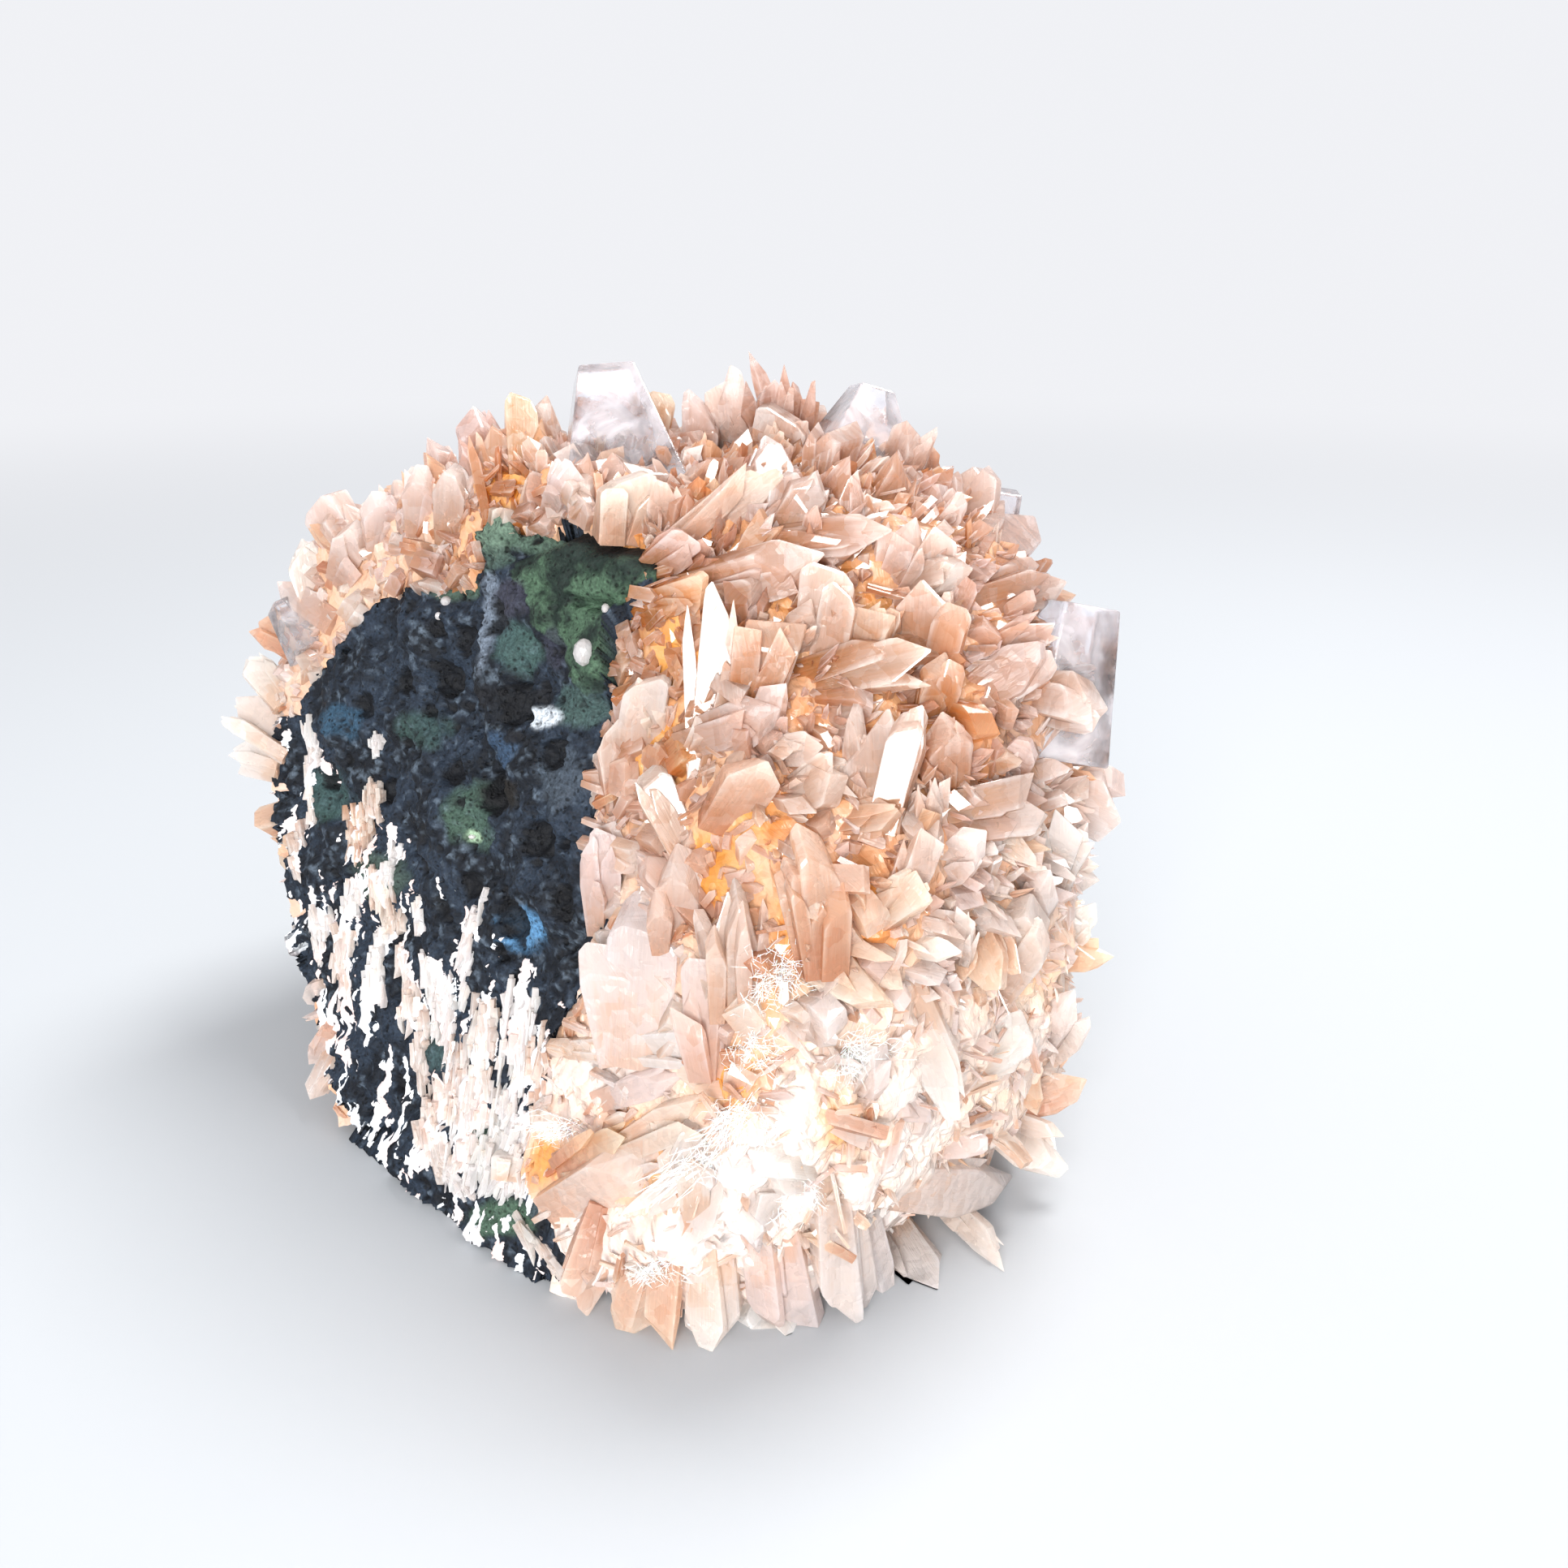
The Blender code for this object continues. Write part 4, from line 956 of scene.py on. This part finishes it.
def stilbiteMaterial(name, forBlades):
    # zeolite crystals with a glassy to pearly lustre: amber inside and at the root, paler at the tip, and
    # paler at the edges as a painted highlight; with fine lines along the blade and stepped growth faces
    made, tree, shader = newMaterial(name)
    growth = addNode(tree, "Attribute", {"attribute_name": "growth"})
    parts = addNode(tree, "SeparateColor", None, {0: growth.outputs["Color"]})
    here = addNode(tree, "TexCoord").outputs["Object"]
    strip = addNode(tree, "UVMap", {"uv_map": "lengthwise"})
    stretch = addNode(tree, "Mapping", {"Scale": (5, 0.3, 1)}, {"Vector": strip})
    lines = addNode(tree, "TexNoise", {"Scale": 1, "Detail": 3, "Roughness": 0.6}, {"Vector": stretch})
    facets = addNode(tree, "TexVoronoi", {"distance": "CHEBYCHEV", "Scale": 900}, {"Vector": here})
    cloud = addNode(tree, "TexNoise", {"Scale": 420, "Detail": 3}, {"Vector": here})
    along = parts
    for texture, share in ((cloud, 0.5), (lines, 0.45), (facets.outputs["Color"], 0.45)):
        step = addNode(tree, "Math", {"operation": "MULTIPLY_ADD", 1: share, 2: -share / 2}, {0: texture})
        along = addNode(tree, "Math", {"operation": "ADD"}, {0: along, 1: step})
    if forBlades:
        # painted highlight: a blade is paler along its long edges, where the bevels would catch the light
        paintedRimPlace = addNode(tree, "Attribute", {"attribute_name": "paintedRim"})
        folded = addNode(tree, "VectorMath", {"operation": "ABSOLUTE"}, {0: paintedRimPlace.outputs["Vector"]})
        sides = addNode(tree, "SeparateXYZ", None, {0: folded})
        rim = addNode(tree, "Math", {"operation": "MULTIPLY"}, {0: sides, 1: sides.outputs[1]})
        rim = addNode(tree, "MapRange", {1: 0.5, 2: 1.0, 3: -0.15, 4: 0.5}, {0: rim})
        along = addNode(tree, "Math", {"operation": "ADD"}, {0: along, 1: rim})
    along = addNode(tree, "Clamp", None, {0: along})
    body = addNode(tree, "ValToRGB", {"stops": stilbite["body"]}, {0: along})
    amber = addNode(tree, "ValToRGB", {"stops": stilbite["amber"]}, {0: along})
    light = addNode(tree, "ValToRGB", {"stops": stilbite["light"]}, {0: along})
    colour = addNode(tree, "Mix", {"data_type": "RGBA"}, {0: parts.outputs[2], 6: body, 7: light})
    colour = addNode(tree, "Mix", {"data_type": "RGBA"},
                     {0: parts.outputs[1], 6: colour.outputs[2], 7: amber})
    colour = addNode(tree, "Mix", {"data_type": "RGBA", "blend_type": "MULTIPLY", 7: linear("#F9F0F1")},
                     {0: growth.outputs["Alpha"], 6: colour.outputs[2]})
    tree.links.new(colour.outputs[2], shader.inputs["Base Color"])
    steps = addNode(tree, "TexNoise", {"Scale": 520, "Detail": 2}, {"Vector": here})
    steps = addNode(tree, "Math", {"operation": "SNAP", 1: 0.07}, {0: steps})
    height = addNode(tree, "Math", {"operation": "MULTIPLY_ADD", 1: 1.4}, {0: steps, 2: lines})
    height = addNode(tree, "Math", {"operation": "MULTIPLY_ADD", 1: -2.8}, {0: facets, 2: height})
    bump = addNode(tree, "Bump", {"Strength": 0.65, "Distance": 0.12 * mm}, {"Height": height})
    tree.links.new(bump.outputs[0], shader.inputs["Normal"])
    gloss = addNode(tree, "MapRange", {1: 0.35, 2: 0.65, 3: 0.1, 4: 0.35}, {0: cloud})
    tree.links.new(gloss.outputs[0], shader.inputs["Roughness"])
    shader.inputs["IOR"].default_value = 1.5
    shader.inputs["Transmission Weight"].default_value = 0.35 if forBlades else 0
    shader.inputs["Coat Weight"].default_value = 1.0
    shader.inputs["Coat Roughness"].default_value = 0.03
    shader.inputs["Coat IOR"].default_value = 1.7  # pearly faces give back more than one clean surface
    glow = addNode(tree, "BsdfTranslucent", None, {"Color": colour.outputs[2], "Normal": bump})
    both = addNode(tree, "MixShader", {0: 0.5 if forBlades else 0.25}, {1: shader, 2: glow})
    tree.links.new(both.outputs[0], tree.nodes["Material Output"].inputs["Surface"])
    return made


def groundSpacing(d, point):
    if isBare(d):
        return 2.5 * mm
    return stilbite["groundSpacing"] * (1 - 0.5 * smooth(0.3, 0.7, massiveShare(point)))


def makeGround(material):
    # the massive crust that the blades stand in, rough and amber, down to the gap above the rock
    bm = refinedNet(4, groundSpacing, 6)
    bare = [v for v in bm.verts if isBare((v.co - centre).normalized())]
    bmesh.ops.delete(bm, geom=bare, context="VERTS")
    grown = bmesh.ops.extrude_face_region(bm, geom=list(bm.faces), use_keep_orig=True)
    moved = {v for v in grown["geom"] if isinstance(v, bmesh.types.BMVert)}
    marks = []
    for v in bm.verts:
        d = (v.co - centre).normalized()
        surface = centre + d * outerReach(d)
        warm, pale = regionTone(surface)
        if v in moved:
            massive = massiveShare(surface)
            sink = 0.35 * mm if onBreak(d) else stilbite["groundSink"] * (1 - massive)
            rough = stilbite["groundRough"] * noise.fractal(surface * 420, 0.8, 2.1, 3)
            cell = noise.voronoi(surface * 300)[1][0]
            lean = noise.cell_vector(cell * 7) - Vector((0.5, 0.5, 0.5))
            rough += 0.5 * massive * (surface - cell / 300).dot(lean)
            v.co = surface - d * max(-0.4 * mm, sink + rough)
            low = 0.4 if onBreak(d) else 0.18 + 0.45 * massive
            marks.append((low, min(1, warm + 0.25 * (1 - massive)), pale * 0.8, 0.5))
        else:
            v.co = centre + d * (rockReach(d) + form["jointGap"])
            marks.append((0.0, warm, pale, 0.5))
    bmesh.ops.recalc_face_normals(bm, faces=bm.faces)
    mesh = bpy.data.meshes.new("stilbite_ground")
    bm.to_mesh(mesh)
    layer = mesh.attributes.new("growth", "FLOAT_COLOR", "POINT")
    layer.data.foreach_set("color", np.array(marks).ravel())
    strip = mesh.uv_layers.new(name="lengthwise")
    corners = np.array([mesh.vertices[l.vertex_index].co[:] for l in mesh.loops])
    strip.data.foreach_set("uv", (np.stack([corners[:, 0] + corners[:, 1], corners[:, 2]], 1) / mm).ravel())
    bm.free()
    putPiece("stilbite_ground", mesh, material, "stilbite", "stilbite_crust")
    print("stilbite ground", len(mesh.polygons))


sprayRule = {
    "seed": 17,
    "fibres": 2.2,  # for each pixel of width
    "width": (0.12, 0.42),  # mm
    "length": (0.6, 2.6),
}


def makeSprays(batch):  # slender broken fibres over the white streaks, and single grains on the rock
    dice = random.Random(sprayRule["seed"])
    bm = bmesh.new()
    bmesh.ops.create_icosphere(bm, subdivisions=2, radius=1)
    ball = shapeOf(bm)
    for x, y, radius in paleGrains:
        at = breakPoint((x, y)) + breakNormal * rockRelief(breakPoint((x, y)), (x, y))
        size = [radius * dice.uniform(0.6, 1.1) * mm for k in range(3)]
        whole = Matrix.Translation(at) @ Matrix.Diagonal((*size, 1))
        batch.add(ball, whole, size, (0.9, 1, 0, 0.9, 0.4), 0)
    for rootPixel, tipPixel, across, pale, warm in sprays:
        root = breakPoint(rootPixel)
        tip = breakPoint(tipPixel)
        long = (tip - root).length
        for i in range(int(across * sprayRule["fibres"])):
            at = dice.random()
            pixel = [rootPixel[k] + (tipPixel[k] - rootPixel[k]) * at for k in range(2)]
            pixel[0] += across * dice.uniform(-0.55, 0.55)
            start = breakPoint(pixel)
            d = (start - centre).normalized()
            if not onBreak(d) or floorReach(d) < breakReach(d) or not isBare(d):
                continue
            way = (tip - root) / long + Vector([dice.gauss(0, 0.1) for k in range(3)])
            reach = min(dice.uniform(*sprayRule["length"]) * mm, long * 0.5)
            lift = breakNormal * (rockRelief(start, pixel) + dice.uniform(-0.15, 0.35) * mm)
            growth = (dice.uniform(0.5, 0.9), 1.0, warm, pale, dice.random() * 0.5)
            stand(batch, dice.choice(["slab", "needle", "leaf"]), start + lift - way * reach / 2,
                  start + lift + way * reach / 2, dice.uniform(*sprayRule["width"]) * mm,
                  dice.uniform(0.3, 0.7) * mm, breakNormal, dice.uniform(-0.7, 0.7), growth, dice, False)


def makeStilbite():
    ground = stilbiteMaterial("stilbite, massive amber root", False)
    blade = stilbiteMaterial("stilbite, translucent blades", True)
    makeGround(ground)
    dice = random.Random(stilbite["seed"])
    side = random.Random(stilbite["seed"] + 7)
    large = Batch()
    taken = keyBlades(large, dice, side)
    for i in range(11):  # the solid's section fibres draw two numbers each
        dice.random()
        dice.random()
    fillBlades(large, dice, side, taken)
    putPiece("stilbite_blades", large.mesh("stilbite_blades"), blade, "stilbite", "stilbite_crust")
    for name, rule in (("stilbite_small_blades", smallRule), ("stilbite_tiny_blades", tinyRule)):
        little = Batch()
        littleBlades(little, side, rule)
        putPiece(name, little.mesh(name), blade, "stilbite", "stilbite_crust")
    spray = Batch()
    makeSprays(spray)
    putPiece("zeolite_sprays", spray.mesh("zeolite_sprays"), blade, "stilbite", "stilbite_crust")


makeStilbite()

# apophyllite: clear, glassy crystals with a square section
clearCrystals = {  # root pixel, tip pixel, width at the foot, width at the head and depth in mm, and turn
    "apophyllite_top": ((762, 585), (744, 457), 8.2, 3.8, 0.8, 8),
    "apophyllite_back": ((1055, 565), (1075, 478), 8.0, 2.6, 0.7, 20),
    "apophyllite_right": ((1300, 905), (1330, 745), 5.6, 4.0, 0.8, 30),
    "apophyllite_shoulder": ((1228, 662), (1242, 605), 2.4, 1.8, 0.8, 15),
    "apophyllite_left": ((385, 790), (352, 740), 3.6, 2.4, 0.8, 25),
}
clearRule = {"rise": 2.5 * mm, "sink": 1.5 * mm, "bevel": 0.16 * mm}


def apophylliteMaterial():
    # a clear phyllosilicate, ior 1.535; growth faces are glassy with fine hillocks and a milky veil inside
    made, tree, shader = newMaterial("apophyllite, clear")
    here = addNode(tree, "TexCoord").outputs["Object"]
    veil = addNode(tree, "TexNoise", {"Scale": 330, "Detail": 4, "Distortion": 0.6}, {"Vector": here})
    clear = addNode(tree, "MapRange", {1: 0.35, 2: 0.65, 3: 0.95, 4: 0.55}, {0: veil})
    tree.links.new(clear.outputs[0], shader.inputs["Transmission Weight"])
    fine = addNode(tree, "TexNoise", {"Scale": 1100, "Detail": 3}, {"Vector": here})
    bump = addNode(tree, "Bump", {"Strength": 0.4, "Distance": 0.1 * mm}, {"Height": fine})
    tree.links.new(bump.outputs[0], shader.inputs["Normal"])
    shader.inputs["Base Color"].default_value = linear("#EFEDF2")
    shader.inputs["Roughness"].default_value = 0.06
    shader.inputs["IOR"].default_value = 1.535
    return made


def makeApophyllite():
    surface = apophylliteMaterial()
    for name, (rootPixel, tipPixel, foot, head, flat, turn) in clearCrystals.items():
        tip = seenPoint(tipPixel, clearRule["rise"])
        root = seenPoint(rootPixel, -bladeRule["keySink"])
        along = (tip - root).normalized()
        root = rooted(root - along * clearRule["sink"], tip)
        side = (eye["place"] - tip).cross(along).normalized()
        frameOf = Matrix((side, along.cross(side), along)).transposed().to_4x4()
        spin = Matrix.Rotation(math.radians(45 + turn), 4, "Z")
        corner = math.sqrt(0.5) * mm
        bm = bmesh.new()
        bmesh.ops.create_cone(bm, cap_ends=True, segments=4, radius1=foot * corner, radius2=head * corner,
                              depth=(tip - root).length)
        whole = Matrix.Translation((root + tip) / 2) @ frameOf @ Matrix.Diagonal((1, flat, 1, 1)) @ spin
        bmesh.ops.transform(bm, matrix=whole, verts=bm.verts)
        bmesh.ops.bevel(bm, geom=bm.edges, offset=clearRule["bevel"], offset_type="OFFSET", segments=2,
                        profile=0.5, affect="EDGES", material=-1)
        bmesh.ops.recalc_face_normals(bm, faces=bm.faces)
        mesh = bpy.data.meshes.new(name + "_crystal")
        bm.to_mesh(mesh)
        bm.free()
        putPiece(name + "_crystal", mesh, surface, "apophyllite", name)
    print("apophyllite", len(clearCrystals))


makeApophyllite()

# mordenite: tufts of white mineral hair
hair = {
    "seed": 41,
    "thickness": 0.045 * mm,
    "spread": 0.8,  # mm
    "tufts": [  # pixel x, pixel y, hairs, reach in mm, and how far they fan to the right and up
        (955, 1205, 190, 2.4, (0, 0)), (1050, 1300, 200, 2.6, (0.2, 0.1)),
        (915, 1375, 300, 3.4, (-0.3, -0.5)), (815, 1560, 130, 2.4, (0, -0.1)),
        (985, 1475, 130, 2.2, (-0.2, -0.3)), (870, 1430, 170, 4.0, (-0.6, -0.6)),
        (700, 1390, 120, 2.6, (-0.6, 0.2)), (930, 1290, 130, 2.2, (0.1, 0)),
    ],
}


def hairMaterial():
    made, tree, shader = newMaterial("mordenite, white fibres")
    shader.inputs["Base Color"].default_value = linear("#F4F6F3")
    shader.inputs["Roughness"].default_value = 0.45
    shader.inputs["IOR"].default_value = 1.48
    shader.inputs["Subsurface Weight"].default_value = 0.3
    shader.inputs["Subsurface Scale"].default_value = 0.3 * mm
    return made


def makeHair():
    dice = random.Random(hair["seed"])
    bm = bmesh.new()
    bmesh.ops.create_cone(bm, cap_ends=True, segments=3, radius1=0.5, radius2=0.16, depth=1,
                          matrix=Matrix.Translation((0, 0, 0.5)))
    shape = shapeOf(bm)
    batch = Batch()
    for x, y, count, reach, fan in hair["tufts"]:
        heart = seenPoint((x, y), 0)
        out = (heart - centre).normalized()
        right = Vector((1, 0, 0)) - out * out.x
        right.normalize()
        up = out.cross(right) * (1 if out.cross(right).z > 0 else -1)
        for i in range(count):
            root = heart + (right * dice.gauss(0, hair["spread"]) + up * dice.gauss(0, hair["spread"])) * mm
            angle = dice.uniform(0, 2 * math.pi)
            way = right * (math.cos(angle) + fan[0]) + up * (math.sin(angle) + fan[1])
            tip = root + (way * dice.uniform(0.4, 1) * reach * 0.6 + out * dice.uniform(0.1, 1.3)) * mm
            middle = root.lerp(tip, 0.55) + Vector([dice.gauss(0, 0.22) for k in range(3)]) * mm
            for a, b in ((root, middle), (middle, tip)):
                along = b - a
                frameOf = along.to_track_quat("Z", "Y").to_matrix().to_4x4()
                size = (hair["thickness"], hair["thickness"], along.length)
                whole = Matrix.Translation(a) @ frameOf @ Matrix.Diagonal((*size, 1))
                batch.add(shape, whole, size, (0, 1, 0, 1, 0.5), 0)
    putPiece("mordenite_hair", batch.mesh("mordenite_hair"), hairMaterial(), "stilbite")


makeHair()

# floor, lights and camera
studio = {
    "floor": "#B6B9BC",
    "room": "#F6F7FB",
    "zenith": 0.78,  # strength of the white room straight up, at the horizon and towards the eye
    "horizon": 0.95,
    "front": 1.3,
    "near": 0.03,  # metres from the middle, where the floor starts to turn into the white of the room
    "far": 0.5,
    "lamps": [  # name, place, watts, size
        ("key", (0.14, 0.10, 0.42), 2.0, 0.19),
        ("fill", (-0.07, -0.5, 0.15), 3.7, 0.22),
    ],
}


def makeStage():
    bm = bmesh.new()
    bmesh.ops.create_grid(bm, x_segments=1, y_segments=1, size=3.0)
    mesh = bpy.data.meshes.new("floor")
    bm.to_mesh(mesh)
    bm.free()
    made, tree, shader = newMaterial("pale floor")
    here = addNode(tree, "TexCoord").outputs["Object"]
    reach = addNode(tree, "VectorMath", {"operation": "LENGTH"}, {0: here})
    away = addNode(tree, "MapRange", {"interpolation_type": "SMOOTHSTEP", 1: studio["near"],
                                      2: studio["far"]}, {0: reach.outputs["Value"]})
    tone = addNode(tree, "Mix", {"data_type": "RGBA", 6: linear(studio["floor"]), 7: (0, 0, 0, 1)},
                   {0: away})
    tree.links.new(tone.outputs[2], shader.inputs["Base Color"])
    shader.inputs["Roughness"].default_value = 0.9
    shader.inputs["Specular IOR Level"].default_value = 0
    shader.inputs["Emission Color"].default_value = linear(studio["room"])
    glow = addNode(tree, "Math", {"operation": "MULTIPLY", 1: studio["horizon"]}, {0: away})
    tree.links.new(glow.outputs[0], shader.inputs["Emission Strength"])
    mesh.materials.append(made)
    floor = bpy.data.objects.new("floor", mesh)
    floor.location.z = -0.05 * mm
    bpy.context.scene.collection.objects.link(floor)


def makeLights():
    world = bpy.data.worlds.new("soft white room")
    bpy.context.scene.world = world
    world.use_nodes = True
    tree = world.node_tree
    back = tree.nodes["Background"]
    place = addNode(tree, "TexCoord")
    parts = addNode(tree, "SeparateXYZ", None, {0: place.outputs["Generated"]})
    level = addNode(tree, "MapRange", {1: -0.9, 2: 0.1, 3: studio["front"], 4: studio["horizon"]},
                    {0: parts.outputs["Y"]})
    rise = addNode(tree, "MapRange", {1: 0.25, 2: 0.95, 3: 0.0, 4: 1.0}, {0: parts.outputs["Z"]})
    sky = addNode(tree, "Mix", {3: studio["zenith"]}, {0: rise, 2: level})
    tree.links.new(sky.outputs[0], back.inputs["Strength"])
    back.inputs["Color"].default_value = linear(studio["room"])
    for name, spot, power, size in studio["lamps"]:
        data = bpy.data.lights.new(name, "AREA")
        data.energy = power
        data.size = size
        lamp = bpy.data.objects.new(name, data)
        lamp.location = spot
        aim = centre - Vector(spot)
        lamp.rotation_euler = aim.to_track_quat("-Z", "Y").to_euler()
        bpy.context.scene.collection.objects.link(lamp)


def makeCamera():
    data = bpy.data.cameras.new("camera")
    data.sensor_width = 36
    data.lens = eye["focal"] * data.sensor_width / eye["width"]
    data.clip_start = 5 * mm
    camera = bpy.data.objects.new("camera", data)
    camera.location = eye["place"]
    camera.rotation_euler = (math.pi / 2 - eye["tilt"], 0, 0)
    bpy.context.scene.collection.objects.link(camera)
    bpy.context.scene.camera = camera


makeStage()
makeLights()
makeCamera()
bpy.context.scene.view_settings.view_transform = "Standard"
bpy.context.scene.cycles.diffuse_bounces = 4  # light that wanders between the pale crystals
bpy.context.scene.cycles.transmission_bounces = 7
bpy.context.scene.cycles.max_bounces = 7
print("stage, lights and camera")
